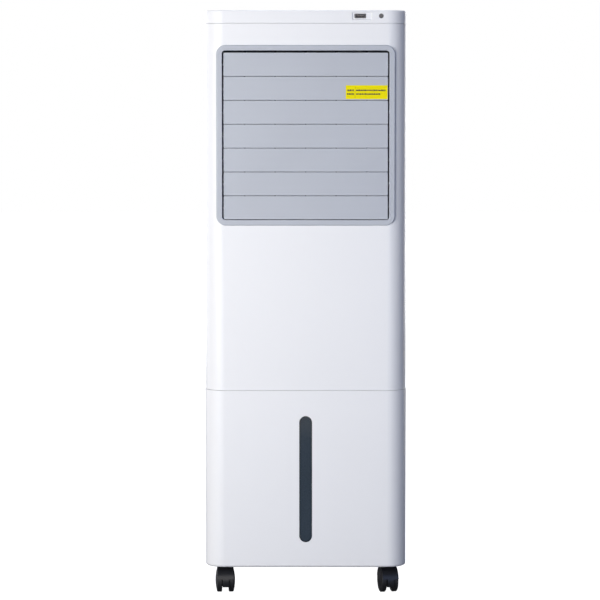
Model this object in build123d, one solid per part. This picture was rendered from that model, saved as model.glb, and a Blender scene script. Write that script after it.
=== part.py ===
from build123d import *

# Tower evaporative cooler on four twin-wheel casters.
# Millimetres. The front faces -Y, +X is to the right seen from the front, +Z is up,
# and the origin is on the floor under the middle of the body.

import os
from math import asin, cos, pi, radians, sin, sqrt, tan

# ------------------------------------------------------------------ driving dimensions
# Body
BODY_WIDTH = 326.0
BODY_DEPTH = 320.0
CORNER_RADIUS = 30.0
SHELL_WALL = 2.5
FLOOR_CLEARANCE = 46.2
TANK_HEIGHT = 289.8
HOUSING_HEIGHT = 593.0
COVER_HEIGHT = 21.0
SEAM_GAP = 0.6
PANEL_WRAP = 42.0
FIT_GAP = 0.4
RUNNING_GAP = 0.05
BACK_PROUD = 2.4

# Tank
TANK_STEP = 1.0
TANK_WALL = 3.0
TANK_FOOT_RADIUS = 4.0
LEDGE_WIDTH = 8.0
LEDGE_THICKNESS = 6.0
WINDOW_LENGTH = 206.4
WINDOW_WIDTH = 20.4
WINDOW_BOTTOM = 87.7
WINDOW_BACKING = 2.5
CHANNEL_DEPTH = 16.0
CHANNEL_WALL = 2.4
FLOAT_WIDTH = 17.2
FLOAT_HEIGHT = 14.3
DRAIN_RADIUS = 8.0
DRAIN_RISE = 22.0
DRAIN_TRAVEL = 30.0

# Filler door
DOOR_WIDTH = 130.0
DOOR_HEIGHT = 62.0
DOOR_TOP_DROP = 14.0
DOOR_THICKNESS = 3.0
BARREL_RADIUS = 4.0
DOOR_PIN_RADIUS = 1.5
DOOR_SWING = 50.0
FRAME_MARGIN = 9.0
FRAME_DEPTH = 9.0

# Outlet frame, louvres and their drive
BEZEL_WIDTH = 288.6
BEZEL_HEIGHT = 290.4
BEZEL_DROP = 201.0
BEZEL_PROUD = 2.4
BEZEL_CORNER = 15.5
OPENING_WIDTH = 269.4
OPENING_HEIGHT = 272.4
OPENING_CORNER = 5.0
BEZEL_WALL = 2.5
BEZEL_DEPTH = 38.0
LOUVRE_COUNT = 7
LOUVRE_SIDE_GAP = 2.2
LOUVRE_TOP_GAP = 3.3
LOUVRE_BOTTOM_GAP = 1.0
LOUVRE_SEAM = 0.7
LOUVRE_THICKNESS = 2.4
LOUVRE_RECESS = 2.9
LOUVRE_SETBACK = 10.0
LOUVRE_CORNER = 1.6
CRANK_THROW = 12.0
LEVER_THICKNESS = 2.0
LINK_WIDTH = 7.0
LINK_THICKNESS = 2.0
PIVOT_RADIUS = 2.0
CRANK_PIN_RADIUS = 1.5
STEPPER_RADIUS = 12.0
STEPPER_LENGTH = 13.0

# Outlet duct and swing vanes
DUCT_WIDTH = 276.0
DUCT_HEIGHT = 280.0
DUCT_WALL = 2.0
DUCT_BACK_Y = -10.0
DUCT_BEND_RADIUS = 50.0
VANE_COUNT = 5
VANE_PITCH = 50.0
VANE_CHORD = 40.0
VANE_THICKNESS = 2.0
VANE_AXIS_Y = -95.0

# Blower
WHEEL_RADIUS = 88.0
WHEEL_RISE = 133.0
BLADE_RING_DEPTH = 14.0
BLADE_COUNT = 36
SCROLL_FRONT_Y = -72.0
SCROLL_START_RADIUS = 100.0
SCROLL_STEP = 12.0
SCROLL_WALL = 2.0
SHAFT_RADIUS = 4.0
MOTOR_RADIUS = 42.0
MOTOR_LENGTH = 40.0

# Rear intake
INTAKE_WIDTH = 262.0
INTAKE_RISE = 35.0
INTAKE_DROP = 41.0
INTAKE_FLANGE = 5.0
CASSETTE_WALL = 2.5
CASSETTE_DEPTH = 54.0
CASSETTE_TRAVEL = 60.0
SLAT_PITCH = 12.0
SLAT_THICKNESS = 2.4
PAD_THICKNESS = 34.0
FILTER_THICKNESS = 2.0

# Water path
PUMP_WIDTH = 46.0
PUMP_DEPTH = 40.0
PUMP_HEIGHT = 40.0
PUMP_X = -127.0
PUMP_Y = 72.0
HOSE_RADIUS = 4.5
HOSE_BORE = 3.0
HOSE_X = -143.0
HOSE_Y = 125.0
TROUGH_WIDTH = 240.0
TROUGH_HEIGHT = 14.0

# Top cover and controls
COVER_EDGE_RADIUS = 3.0
PANEL_WIDTH = 200.0
PANEL_DEPTH = 84.0
PANEL_CENTRE_Y = -95.0
PANEL_THICKNESS = 2.4
DISPLAY_WIDTH = 64.0
DISPLAY_DEPTH = 24.0
BUTTON_RADIUS = 6.2
BUTTON_PITCH = 36.0
BUTTON_TRAVEL = 1.2
USB_X = 87.8
USB_WIDTH = 19.0
USB_HEIGHT = 7.6
RECESS_X = 90.5
RECESS_WIDTH = 32.4
RECESS_HEIGHT = 13.0
RECESS_DEPTH = 1.6
RECESS_DRAFT = 40.0
RECEIVER_X = 121.4
RECEIVER_RADIUS = 3.8
SCREW_SPACING = 200.0
SCREW_RADIUS = 1.5
BOSS_WIDTH = 14.0

# Power inlet
INLET_X = 50.0
INLET_WIDTH = 24.0
INLET_HEIGHT = 16.0

# Grips
GRIP_LENGTH = 96.0
GRIP_HEIGHT = 30.0
GRIP_DEPTH = 16.0
GRIP_Y = 45.0
GRIP_DROP = 100.0

# Casters
CASTER_X = 133.0
CASTER_Y = 115.0
CASTER_WHEEL_RADIUS = 20.0
CASTER_TRAIL = 12.0
WEB_HALF_WIDTH = 5.2
TREAD_OUTER_X = 13.6
DOME_OUTER_X = 16.1
AXLE_RADIUS = 2.0
STEM_RADIUS = 3.0
SOCKET_RADIUS = 4.0
CASTER_HEADINGS = {"front_left": 4.0, "front_right": 11.0, "rear_left": 168.0, "rear_right": -152.0}

# ------------------------------------------------------------------ worked-out levels
HALF_WIDTH = BODY_WIDTH / 2
FRONT_Y = -BODY_DEPTH / 2
REAR_Y = BODY_DEPTH / 2
TANK_BOTTOM = FLOOR_CLEARANCE
TANK_TOP = TANK_BOTTOM + TANK_HEIGHT
TANK_FRONT_Y = FRONT_Y - TANK_STEP
TANK_REAR_Y = REAR_Y + TANK_STEP
SHELL_BOTTOM = TANK_TOP + SEAM_GAP
COVER_BOTTOM = TANK_TOP + HOUSING_HEIGHT
BODY_HEIGHT = COVER_BOTTOM + COVER_HEIGHT
SHELL_TOP = COVER_BOTTOM - SEAM_GAP
DECK_TOP = TANK_TOP + 3.0
INNER_FRONT_Y = FRONT_Y + SHELL_WALL
INNER_REAR_Y = REAR_Y - SHELL_WALL
SPLIT_Y = FRONT_Y + PANEL_WRAP
PROUD_REAR_Y = REAR_Y + BACK_PROUD

BEZEL_CENTRE_Z = BODY_HEIGHT - BEZEL_DROP
OPENING_BOTTOM = BEZEL_CENTRE_Z - OPENING_HEIGHT / 2
OPENING_TOP = BEZEL_CENTRE_Z + OPENING_HEIGHT / 2
RIM_BACK_Y = FRONT_Y + BEZEL_DEPTH - 2.0
LOUVRE_STACK = OPENING_HEIGHT - LOUVRE_TOP_GAP - LOUVRE_BOTTOM_GAP
LOUVRE_PITCH = (LOUVRE_STACK + LOUVRE_SEAM) / LOUVRE_COUNT
LOUVRE_BLADE = LOUVRE_PITCH - LOUVRE_SEAM
LOUVRE_LENGTH = OPENING_WIDTH - 2 * LOUVRE_SIDE_GAP
LOUVRE_FACE_Y = FRONT_Y - BEZEL_PROUD + LOUVRE_RECESS
LOUVRE_AXIS_Y = LOUVRE_FACE_Y + LOUVRE_SETBACK
LOUVRE_TOP_Z = OPENING_TOP - LOUVRE_TOP_GAP
RIM_OUTER_X = OPENING_WIDTH / 2 + BEZEL_WALL
LEVER_X = RIM_OUTER_X + FIT_GAP
LINK_X = LEVER_X + LEVER_THICKNESS + FIT_GAP
CRANK_X = LINK_X + LINK_THICKNESS + FIT_GAP
STEPPER_X = CRANK_X + LEVER_THICKNESS + FIT_GAP
LINK_Y = LOUVRE_AXIS_Y + CRANK_THROW
DRIVE_ARM = 31.0
DRIVE_AXIS_Y = LOUVRE_AXIS_Y + DRIVE_ARM

DUCT_FRONT_Y = RIM_BACK_Y + 0.5
DUCT_BOTTOM = BEZEL_CENTRE_Z - DUCT_HEIGHT / 2
DUCT_TOP = BEZEL_CENTRE_Z + DUCT_HEIGHT / 2
DUCT_INNER_X = DUCT_WIDTH / 2 - DUCT_WALL
VANE_LEVER_TOP = DUCT_BOTTOM - FIT_GAP
VANE_LINK_TOP = VANE_LEVER_TOP - LEVER_THICKNESS - FIT_GAP
VANE_PIN_END = VANE_LINK_TOP - LINK_THICKNESS - 0.3
VANE_MOTOR_TOP = VANE_PIN_END - FIT_GAP
VANE_LINK_Y = VANE_AXIS_Y - CRANK_THROW

SCROLL_BACK_Y = DUCT_BACK_Y
WHEEL_CENTRE_Z = DECK_TOP + WHEEL_RISE
MOTOR_FRONT_Y = SCROLL_FRONT_Y - MOTOR_LENGTH
WHEEL_FRONT_Y = SCROLL_FRONT_Y + 6.0
WHEEL_BACK_Y = SCROLL_BACK_Y - 8.0

INTAKE_BOTTOM = DECK_TOP + INTAKE_RISE
INTAKE_TOP = COVER_BOTTOM - INTAKE_DROP
INTAKE_HEIGHT = INTAKE_TOP - INTAKE_BOTTOM
INTAKE_CENTRE_Z = (INTAKE_BOTTOM + INTAKE_TOP) / 2
CASSETTE_FRONT_Y = REAR_Y - CASSETTE_DEPTH
PAD_FRONT_Y = CASSETTE_FRONT_Y + 2.0
PAD_REAR_Y = PAD_FRONT_Y + PAD_THICKNESS
PAD_CENTRE_Y = (PAD_FRONT_Y + PAD_REAR_Y) / 2
FILTER_FRONT_Y = PAD_REAR_Y + 1.6
SLAT_FRONT_Y = FILTER_FRONT_Y + FILTER_THICKNESS + 4.0
CASSETTE_GAP = 0.5
BOX_WALL = 2.0
TROUGH_BOTTOM = INTAKE_TOP + BOX_WALL + 1.0

WINDOW_CENTRE_Z = WINDOW_BOTTOM + WINDOW_LENGTH / 2
LENS_BACK_Y = TANK_FRONT_Y + TANK_WALL
BACKING_Y = LENS_BACK_Y + WINDOW_BACKING
CHANNEL_BACK_Y = BACKING_Y + CHANNEL_DEPTH
CAVITY_BOTTOM = WINDOW_BOTTOM + 0.5
CAVITY_TOP = WINDOW_BOTTOM + WINDOW_LENGTH - 0.5

DOOR_OPENING_TOP = TANK_TOP - DOOR_TOP_DROP
DOOR_OPENING_BOTTOM = DOOR_OPENING_TOP - DOOR_HEIGHT
DOOR_AXIS_Y = TANK_REAR_Y - BARREL_RADIUS
DOOR_AXIS_Z = DOOR_OPENING_BOTTOM + FIT_GAP + BARREL_RADIUS
DRAIN_Z = TANK_BOTTOM + DRAIN_RISE
PUMP_BASE_Z = TANK_BOTTOM + TANK_WALL

PANEL_FLOOR_Z = BODY_HEIGHT - PANEL_THICKNESS
PAD_UNDERSIDE_Z = PANEL_FLOOR_Z - 4.6
BOARD_TOP = PAD_UNDERSIDE_Z - 11.4
BOARD_THICKNESS = 1.6
BUTTON_Y = PANEL_CENTRE_Y + 18.0
DISPLAY_Y = PANEL_CENTRE_Y - 16.0
BAND_Z = BODY_HEIGHT - 9.4
LOW_SCREW_Z = DECK_TOP + 13.0
HIGH_SCREW_Z = COVER_BOTTOM - 18.0
BOSS_FRONT_Y = INNER_REAR_Y - BOSS_WIDTH
GRIP_Z = BODY_HEIGHT - GRIP_DROP
INLET_Z = DECK_TOP + 14.0

SOCKET_TOP = TANK_BOTTOM + 28.0
COLLAR_BOTTOM = TANK_BOTTOM - 2.0
HOOD_TOP = COLLAR_BOTTOM - FIT_GAP

BUTTON_NAMES = ["power", "speed", "cool", "swing", "timer"]


# ------------------------------------------------------------------ building blocks
def block(x0, x1, y0, y1, z0, z1):
    """Box between two opposite corners."""
    centre = Pos((x0 + x1) / 2, (y0 + y1) / 2, (z0 + z1) / 2)
    return centre * Box(x1 - x0, y1 - y0, z1 - z0)


def rod_x(radius, x0, x1, y, z):
    """Round bar along X."""
    return Pos((x0 + x1) / 2, y, z) * Rot(0, 90, 0) * Cylinder(radius, x1 - x0)


def rod_y(radius, x, y0, y1, z):
    """Round bar along Y."""
    return Pos(x, (y0 + y1) / 2, z) * Rot(90, 0, 0) * Cylinder(radius, y1 - y0)


def rod_z(radius, x, y, z0, z1):
    """Round bar along Z."""
    return Pos(x, y, (z0 + z1) / 2) * Cylinder(radius, z1 - z0)


def upright(sketch, z0, z1):
    """Prism of a sketch drawn in X, Y."""
    return extrude(Pos(0, 0, z0) * sketch, z1 - z0)


def fore_aft(sketch, y0, y1):
    """Prism of a sketch drawn in X, Z, from one depth to another."""
    plane = Plane(origin=(0, y1, 0), x_dir=(1, 0, 0), z_dir=(0, -1, 0))
    return extrude(plane * sketch, y1 - y0)


def sideways(sketch, x0, x1):
    """Prism of a sketch drawn in Y, Z, from one side to the other."""
    plane = Plane(origin=(x0, 0, 0), x_dir=(0, 1, 0), z_dir=(1, 0, 0))
    return extrude(plane * sketch, x1 - x0)


def body_plan(inset=0.0):
    """Outline of the body from above, brought in by inset."""
    return RectangleRounded(BODY_WIDTH - 2 * inset, BODY_DEPTH - 2 * inset, CORNER_RADIUS - inset)


def tank_plan(inset=0.0):
    """Outline of the tank from above, a step wider than the body all round."""
    return body_plan(inset - TANK_STEP)


def shell_wall(z0, z1):
    """The body's outer wall between two levels."""
    return upright(body_plan() - body_plan(SHELL_WALL), z0, z1)


def slots_along_x(count, pitch, length, width, y, z0, z1):
    """A row of obround cutters along X, used for drip and drain slots."""
    first = -(count - 1) * pitch / 2
    return [
        upright(Pos(first + i * pitch, y) * SlotOverall(length, width), z0, z1)
        for i in range(count)
    ]


# ------------------------------------------------------------------ tank and its fittings
def caster_positions():
    """Stem positions, by corner name."""
    sides = {"left": -CASTER_X, "right": CASTER_X}
    ends = {"front": -CASTER_Y, "rear": CASTER_Y}
    return {f"{e}_{s}": (sides[s], ends[e]) for e in ends for s in sides}


def make_tank():
    tub = upright(tank_plan(), TANK_BOTTOM, TANK_TOP)
    tub = fillet(tub.edges().group_by(Axis.Z)[0], TANK_FOOT_RADIUS)
    tub -= upright(tank_plan(TANK_WALL), TANK_BOTTOM + TANK_WALL, TANK_TOP)
    ledge = tank_plan(TANK_WALL) - tank_plan(TANK_WALL + LEDGE_WIDTH)
    tub += upright(ledge, TANK_TOP - LEDGE_THICKNESS, TANK_TOP)
    for x, y in caster_positions().values():
        tub += rod_z(SOCKET_RADIUS + 7, x, y, TANK_BOTTOM + 1, SOCKET_TOP + 5)
        tub -= rod_z(SOCKET_RADIUS, x, y, TANK_BOTTOM, SOCKET_TOP)

    window = SlotOverall(WINDOW_LENGTH + FIT_GAP, WINDOW_WIDTH + FIT_GAP, rotation=90)
    tub -= fore_aft(Pos(0, WINDOW_CENTRE_Z) * window, TANK_FRONT_Y - 1, LENS_BACK_Y + 1)

    drain_inner_y = TANK_REAR_Y - TANK_WALL
    tub += rod_y(DRAIN_RADIUS + 5, 0, drain_inner_y - 4, drain_inner_y + 1, DRAIN_Z)
    tub -= rod_y(DRAIN_RADIUS, 0, drain_inner_y - 5, TANK_REAR_Y + 1, DRAIN_Z)

    half = DOOR_WIDTH / 2
    frame_front_y = TANK_REAR_Y - FRAME_DEPTH
    frame_back_y = TANK_REAR_Y - TANK_WALL + 0.5
    tub += block(
        -half - FRAME_MARGIN, half + FRAME_MARGIN, frame_front_y, frame_back_y,
        DOOR_OPENING_BOTTOM - FRAME_MARGIN, TANK_TOP - LEDGE_THICKNESS + 1,
    )
    tub -= block(
        -half, half, frame_front_y - 1, TANK_REAR_Y + 1, DOOR_OPENING_BOTTOM, DOOR_OPENING_TOP
    )
    pin_reach = half + 4
    tub -= rod_x(DOOR_PIN_RADIUS + RUNNING_GAP, -pin_reach, pin_reach, DOOR_AXIS_Y, DOOR_AXIS_Z)
    return tub


def make_tank_window():
    lens = SlotOverall(WINDOW_LENGTH, WINDOW_WIDTH, rotation=90)
    backing = SlotOverall(WINDOW_LENGTH + 10, WINDOW_WIDTH + 10, rotation=90)
    cavity_width = FLOAT_WIDTH + 1.0
    cavity = Rectangle(cavity_width, CAVITY_TOP - CAVITY_BOTTOM)
    channel = Rectangle(cavity_width + 2 * CHANNEL_WALL, CAVITY_TOP - CAVITY_BOTTOM + 2 * CHANNEL_WALL)
    at = Pos(0, WINDOW_CENTRE_Z)
    part = fore_aft(at * lens, TANK_FRONT_Y + FIT_GAP, LENS_BACK_Y)
    part += fore_aft(at * backing, LENS_BACK_Y, BACKING_Y)
    part += fore_aft(at * channel, BACKING_Y, CHANNEL_BACK_Y)
    part -= fore_aft(at * cavity, BACKING_Y + 0.3, CHANNEL_BACK_Y - CHANNEL_WALL)
    for z in (CAVITY_BOTTOM + 6, CAVITY_TOP - 6):
        part -= rod_y(3, 0, CHANNEL_BACK_Y - CHANNEL_WALL - 1, CHANNEL_BACK_Y + 1, z)
    return part


def make_level_float():
    half = FLOAT_WIDTH / 2
    body = block(
        -half, half, BACKING_Y + 0.8, CHANNEL_BACK_Y - CHANNEL_WALL - 0.5,
        CAVITY_BOTTOM + FIT_GAP, CAVITY_BOTTOM + FIT_GAP + FLOAT_HEIGHT,
    )
    return fillet(body.edges().filter_by(Axis.Z), 1.2)


def make_drain_plug():
    stem_front_y = TANK_REAR_Y - TANK_WALL - 6
    plug = rod_y(DRAIN_RADIUS - RUNNING_GAP, 0, stem_front_y, TANK_REAR_Y + 0.1, DRAIN_Z)
    cap = rod_y(DRAIN_RADIUS + 3, 0, TANK_REAR_Y + 0.1, PROUD_REAR_Y, DRAIN_Z)
    cap = fillet(cap.edges().group_by(Axis.Y)[-1], 0.8)
    plug += cap
    return plug - rod_y(DRAIN_RADIUS - 3, 0, stem_front_y - 1, TANK_REAR_Y - 4, DRAIN_Z)


def make_filler_door():
    half = DOOR_WIDTH / 2 - FIT_GAP
    top = DOOR_OPENING_TOP - FIT_GAP
    plate = block(-half, half, TANK_REAR_Y - DOOR_THICKNESS, TANK_REAR_Y, DOOR_AXIS_Z, top)
    barrel = rod_x(BARREL_RADIUS, -half, half, DOOR_AXIS_Y, DOOR_AXIS_Z)
    pin_reach = DOOR_WIDTH / 2 + 3.5
    pins = rod_x(DOOR_PIN_RADIUS, -pin_reach, pin_reach, DOOR_AXIS_Y, DOOR_AXIS_Z)
    cheek_radius = top - DOOR_AXIS_Z - 1.2
    swing = radians(DOOR_SWING + 6)
    centre = (DOOR_AXIS_Y, DOOR_AXIS_Z)
    upper = (DOOR_AXIS_Y, DOOR_AXIS_Z + cheek_radius)
    middle = (DOOR_AXIS_Y - cheek_radius * sin(swing / 2), DOOR_AXIS_Z + cheek_radius * cos(swing / 2))
    inner = (DOOR_AXIS_Y - cheek_radius * sin(swing), DOOR_AXIS_Z + cheek_radius * cos(swing))
    outline = Line(centre, upper) + ThreePointArc(upper, middle, inner) + Line(inner, centre)
    cheek = make_face(outline)
    door = plate + barrel + pins
    for x in (-half + 2, half - 4):
        door += sideways(cheek, x, x + 2)
        door += block(x, x + 2, DOOR_AXIS_Y - 0.5, TANK_REAR_Y - 1, DOOR_AXIS_Z, DOOR_AXIS_Z + cheek_radius)
    lip = block(-22, 22, TANK_REAR_Y - 1, PROUD_REAR_Y - 0.4, top - 8, top - 3)
    lip = fillet(lip.edges().filter_by(Axis.Y), 2)
    return door + lip


# ------------------------------------------------------------------ deck and water path
def make_base_deck():
    deck = upright(body_plan(SHELL_WALL + FIT_GAP), TANK_TOP, DECK_TOP)
    inset = TANK_WALL + LEDGE_WIDTH + 0.5
    rim = tank_plan(inset) - tank_plan(inset + 2)
    deck += upright(rim, TANK_TOP - LEDGE_THICKNESS - 4, TANK_TOP)
    for x in (-SCREW_SPACING / 2, SCREW_SPACING / 2):
        deck += block(
            x - BOSS_WIDTH / 2, x + BOSS_WIDTH / 2, BOSS_FRONT_Y, INNER_REAR_Y - 0.3,
            DECK_TOP, LOW_SCREW_Z + 11,
        )
        deck -= rod_y(SCREW_RADIUS, x, BOSS_FRONT_Y - 1, INNER_REAR_Y, LOW_SCREW_Z)
    for cutter in slots_along_x(6, 40.0, 28.0, 6.0, PAD_CENTRE_Y, TANK_TOP - 1, DECK_TOP + 1):
        deck -= cutter
    return deck - rod_z(HOSE_RADIUS + 1.5, HOSE_X, HOSE_Y, TANK_TOP - 1, DECK_TOP + 1)


def make_pump():
    left = PUMP_X - PUMP_WIDTH / 2
    front = PUMP_Y - PUMP_DEPTH / 2
    case = block(
        left, left + PUMP_WIDTH, front, front + PUMP_DEPTH, PUMP_BASE_Z + 3, PUMP_BASE_Z + PUMP_HEIGHT
    )
    case = fillet(case.edges().filter_by(Axis.Z), 6)
    foot = block(left + 4, left + PUMP_WIDTH - 4, front + 4, front + PUMP_DEPTH - 4, PUMP_BASE_Z, PUMP_BASE_Z + 3)
    case += foot
    for i in range(5):
        x = left + 9 + i * 7
        case -= block(x, x + 2, front - 1, front + 3, PUMP_BASE_Z + 8, PUMP_BASE_Z + 26)
    case += rod_z(HOSE_BORE, PUMP_X, PUMP_Y, PUMP_BASE_Z + PUMP_HEIGHT, PUMP_BASE_Z + PUMP_HEIGHT + 12)
    return case


def hose_path():
    """Centre line of the hose: up from the pump, back to the corner, up, and in over the pad."""
    start_z = PUMP_BASE_Z + PUMP_HEIGHT + 1
    inlet_z = TROUGH_BOTTOM + TROUGH_HEIGHT / 2
    points = [
        (PUMP_X, PUMP_Y, start_z),
        (PUMP_X, PUMP_Y, start_z + 75),
        (HOSE_X, HOSE_Y, start_z + 165),
        (HOSE_X, HOSE_Y, inlet_z),
        (-TROUGH_WIDTH / 2 - 1, HOSE_Y, inlet_z),
    ]
    return points, [60, 60, 15]


def make_water_hose():
    points, bends = hose_path()
    route = FilletPolyline(*points, radius=bends)
    start = Plane(origin=points[0], z_dir=(0, 0, 1))
    tube = sweep(start * Circle(HOSE_RADIUS), path=route)
    bore = sweep(start * Circle(HOSE_BORE), path=route)
    return tube - bore


def make_water_distributor():
    half = TROUGH_WIDTH / 2
    y0 = PAD_CENTRE_Y - 15
    y1 = PAD_CENTRE_Y + 15
    z1 = TROUGH_BOTTOM + TROUGH_HEIGHT
    trough = block(-half, half, y0, y1, TROUGH_BOTTOM, z1)
    trough -= block(-half + 2, half - 2, y0 + 2, y1 - 2, TROUGH_BOTTOM + 2, z1 + 1)
    inlet_z = TROUGH_BOTTOM + TROUGH_HEIGHT / 2
    trough += rod_x(HOSE_BORE, -half - 7, -half + 1, HOSE_Y, inlet_z)
    trough -= rod_x(1.8, -half - 8, -half + 3, HOSE_Y, inlet_z)
    hole_pitch = 20.0
    for i in range(11):
        trough -= rod_z(1.5, (i - 5) * hole_pitch, PAD_CENTRE_Y, TROUGH_BOTTOM - 1, TROUGH_BOTTOM + 3)
    return trough


# ------------------------------------------------------------------ outer shells
def make_front_panel():
    panel = shell_wall(SHELL_BOTTOM, SHELL_TOP)
    panel &= block(-HALF_WIDTH - 1, HALF_WIDTH + 1, FRONT_Y - 1, SPLIT_Y, SHELL_BOTTOM - 1, SHELL_TOP + 1)
    hole = RectangleRounded(
        2 * RIM_OUTER_X + 2 * FIT_GAP, OPENING_HEIGHT + 2 * BEZEL_WALL + 2 * FIT_GAP,
        OPENING_CORNER + BEZEL_WALL + FIT_GAP,
    )
    panel -= fore_aft(Pos(0, BEZEL_CENTRE_Z) * hole, FRONT_Y - 1, INNER_FRONT_Y + 1)
    tab_height = 24.0
    inner_x = HALF_WIDTH - SHELL_WALL
    for side in (-1, 1):
        for level in (0.1, 0.4, 0.95):
            z0 = SHELL_BOTTOM + level * (SHELL_TOP - SHELL_BOTTOM - tab_height)
            x0, x1 = sorted((side * (inner_x - 2.2), side * (inner_x - 0.2)))
            panel += block(x0, x1, SPLIT_Y - 8, SPLIT_Y + 10, z0, z0 + tab_height)
            x0, x1 = sorted((side * (inner_x - 2.2), side * (inner_x + 0.5)))
            panel += block(x0, x1, SPLIT_Y - 8, SPLIT_Y - 1, z0, z0 + tab_height)
    return panel


def intake_hole(grow=0.0):
    """Outline of the rear opening in X, Z, made larger by grow on each side."""
    shape = RectangleRounded(INTAKE_WIDTH + 2 * grow, INTAKE_HEIGHT + 2 * grow, 8.0 + grow)
    return Pos(0, INTAKE_CENTRE_Z) * shape


def make_rear_housing():
    shell = shell_wall(SHELL_BOTTOM, SHELL_TOP)
    shell &= block(
        -HALF_WIDTH - 1, HALF_WIDTH + 1, SPLIT_Y + SEAM_GAP, REAR_Y + 1, SHELL_BOTTOM - 1, SHELL_TOP + 1
    )
    shell += fore_aft(intake_hole(BOX_WALL), CASSETTE_FRONT_Y, REAR_Y - 0.5)
    shell -= fore_aft(intake_hole(), CASSETTE_FRONT_Y - 1, REAR_Y + 1)
    for cutter in slots_along_x(6, 40.0, 28.0, 6.0, PAD_CENTRE_Y, INTAKE_BOTTOM - BOX_WALL - 1, INTAKE_BOTTOM + 1):
        shell -= cutter
    for cutter in slots_along_x(11, 20.0, 8.0, 5.0, PAD_CENTRE_Y, INTAKE_TOP - 1, INTAKE_TOP + BOX_WALL + 1):
        shell -= cutter

    for side in (-1, 1):
        outer = side * (HALF_WIDTH - 0.5)
        cup_x = side * (HALF_WIDTH - GRIP_DEPTH - SHELL_WALL)
        mouth_x = side * (HALF_WIDTH + 1)
        floor_x = side * (HALF_WIDTH - GRIP_DEPTH)
        cup_outer = Pos(GRIP_Y, GRIP_Z) * RectangleRounded(GRIP_LENGTH + 5, GRIP_HEIGHT + 5, 12.5)
        cup_inner = Pos(GRIP_Y, GRIP_Z) * RectangleRounded(GRIP_LENGTH, GRIP_HEIGHT, 10)
        shell += sideways(cup_outer, *sorted((outer, cup_x)))
        shell -= sideways(cup_inner, *sorted((mouth_x, floor_x)))

    shell -= block(
        INLET_X - INLET_WIDTH / 2 - 0.3, INLET_X + INLET_WIDTH / 2 + 0.3, INNER_REAR_Y - 1, REAR_Y + 1,
        INLET_Z - INLET_HEIGHT / 2 - 0.3, INLET_Z + INLET_HEIGHT / 2 + 0.3,
    )
    for x in (-SCREW_SPACING / 2, SCREW_SPACING / 2):
        for z in (LOW_SCREW_Z, HIGH_SCREW_Z):
            shell -= rod_y(SCREW_RADIUS + 0.2, x, INNER_REAR_Y - 1, REAR_Y + 1, z)
    return shell


def make_top_cover():
    cover = upright(body_plan(), COVER_BOTTOM, BODY_HEIGHT)
    cover = fillet(cover.edges().group_by(Axis.Z)[-1], COVER_EDGE_RADIUS)
    cover -= upright(body_plan(SHELL_WALL), COVER_BOTTOM, BODY_HEIGHT - SHELL_WALL)
    locator = SHELL_WALL + 0.3
    cover += upright(body_plan(SHELL_WALL - 0.5) - body_plan(locator + 2), COVER_BOTTOM, COVER_BOTTOM + 6)
    cover += upright(body_plan(locator) - body_plan(locator + 2), COVER_BOTTOM - 8, COVER_BOTTOM)

    pad = Pos(0, PANEL_CENTRE_Y) * RectangleRounded(PANEL_WIDTH + 8, PANEL_DEPTH + 8, 9)
    cover += upright(pad, PAD_UNDERSIDE_Z, PANEL_FLOOR_Z)
    pocket = Pos(0, PANEL_CENTRE_Y) * RectangleRounded(PANEL_WIDTH, PANEL_DEPTH, 6)
    cover -= upright(pocket, PANEL_FLOOR_Z, BODY_HEIGHT + 1)
    for x in button_positions():
        cover -= rod_z(BUTTON_RADIUS + 0.3, x, BUTTON_Y, PAD_UNDERSIDE_Z - 1, PANEL_FLOOR_Z + 1)
    for x in (-PANEL_WIDTH / 2 + 6, PANEL_WIDTH / 2 - 6):
        for y in (PANEL_CENTRE_Y - 28, PANEL_CENTRE_Y + 28):
            cover += rod_z(3, x, y, BOARD_TOP, PAD_UNDERSIDE_Z + 0.5)

    cover += block(
        USB_X - 18.5, RECEIVER_X + 6.5, INNER_FRONT_Y - 0.5, INNER_FRONT_Y + 5.5,
        COVER_BOTTOM + 2, BODY_HEIGHT - SHELL_WALL + 0.5,
    )
    slope = RECESS_DEPTH * tan(radians(RECESS_DRAFT))
    floor = Pos(RECESS_X, BAND_Z) * RectangleRounded(RECESS_WIDTH - 2 * slope, RECESS_HEIGHT - 2 * slope, 1.0)
    plane = Plane(origin=(0, FRONT_Y + RECESS_DEPTH, 0), x_dir=(1, 0, 0), z_dir=(0, -1, 0))
    cover -= extrude(plane * floor, RECESS_DEPTH + 0.3, taper=-RECESS_DRAFT)
    slot = Pos(USB_X, BAND_Z) * RectangleRounded(USB_WIDTH, USB_HEIGHT, 1.2)
    cover -= fore_aft(slot, FRONT_Y - 1, INNER_FRONT_Y + 10)
    cover -= rod_y(RECEIVER_RADIUS + 0.1, RECEIVER_X, FRONT_Y - 1, INNER_FRONT_Y + 10, BAND_Z)

    for x in (-SCREW_SPACING / 2, SCREW_SPACING / 2):
        cover += block(
            x - BOSS_WIDTH / 2, x + BOSS_WIDTH / 2, BOSS_FRONT_Y, INNER_REAR_Y - 0.3,
            HIGH_SCREW_Z - 8, BODY_HEIGHT - SHELL_WALL + 0.5,
        )
        cover -= rod_y(SCREW_RADIUS, x, BOSS_FRONT_Y - 1, INNER_REAR_Y, HIGH_SCREW_Z)
    return cover


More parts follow.
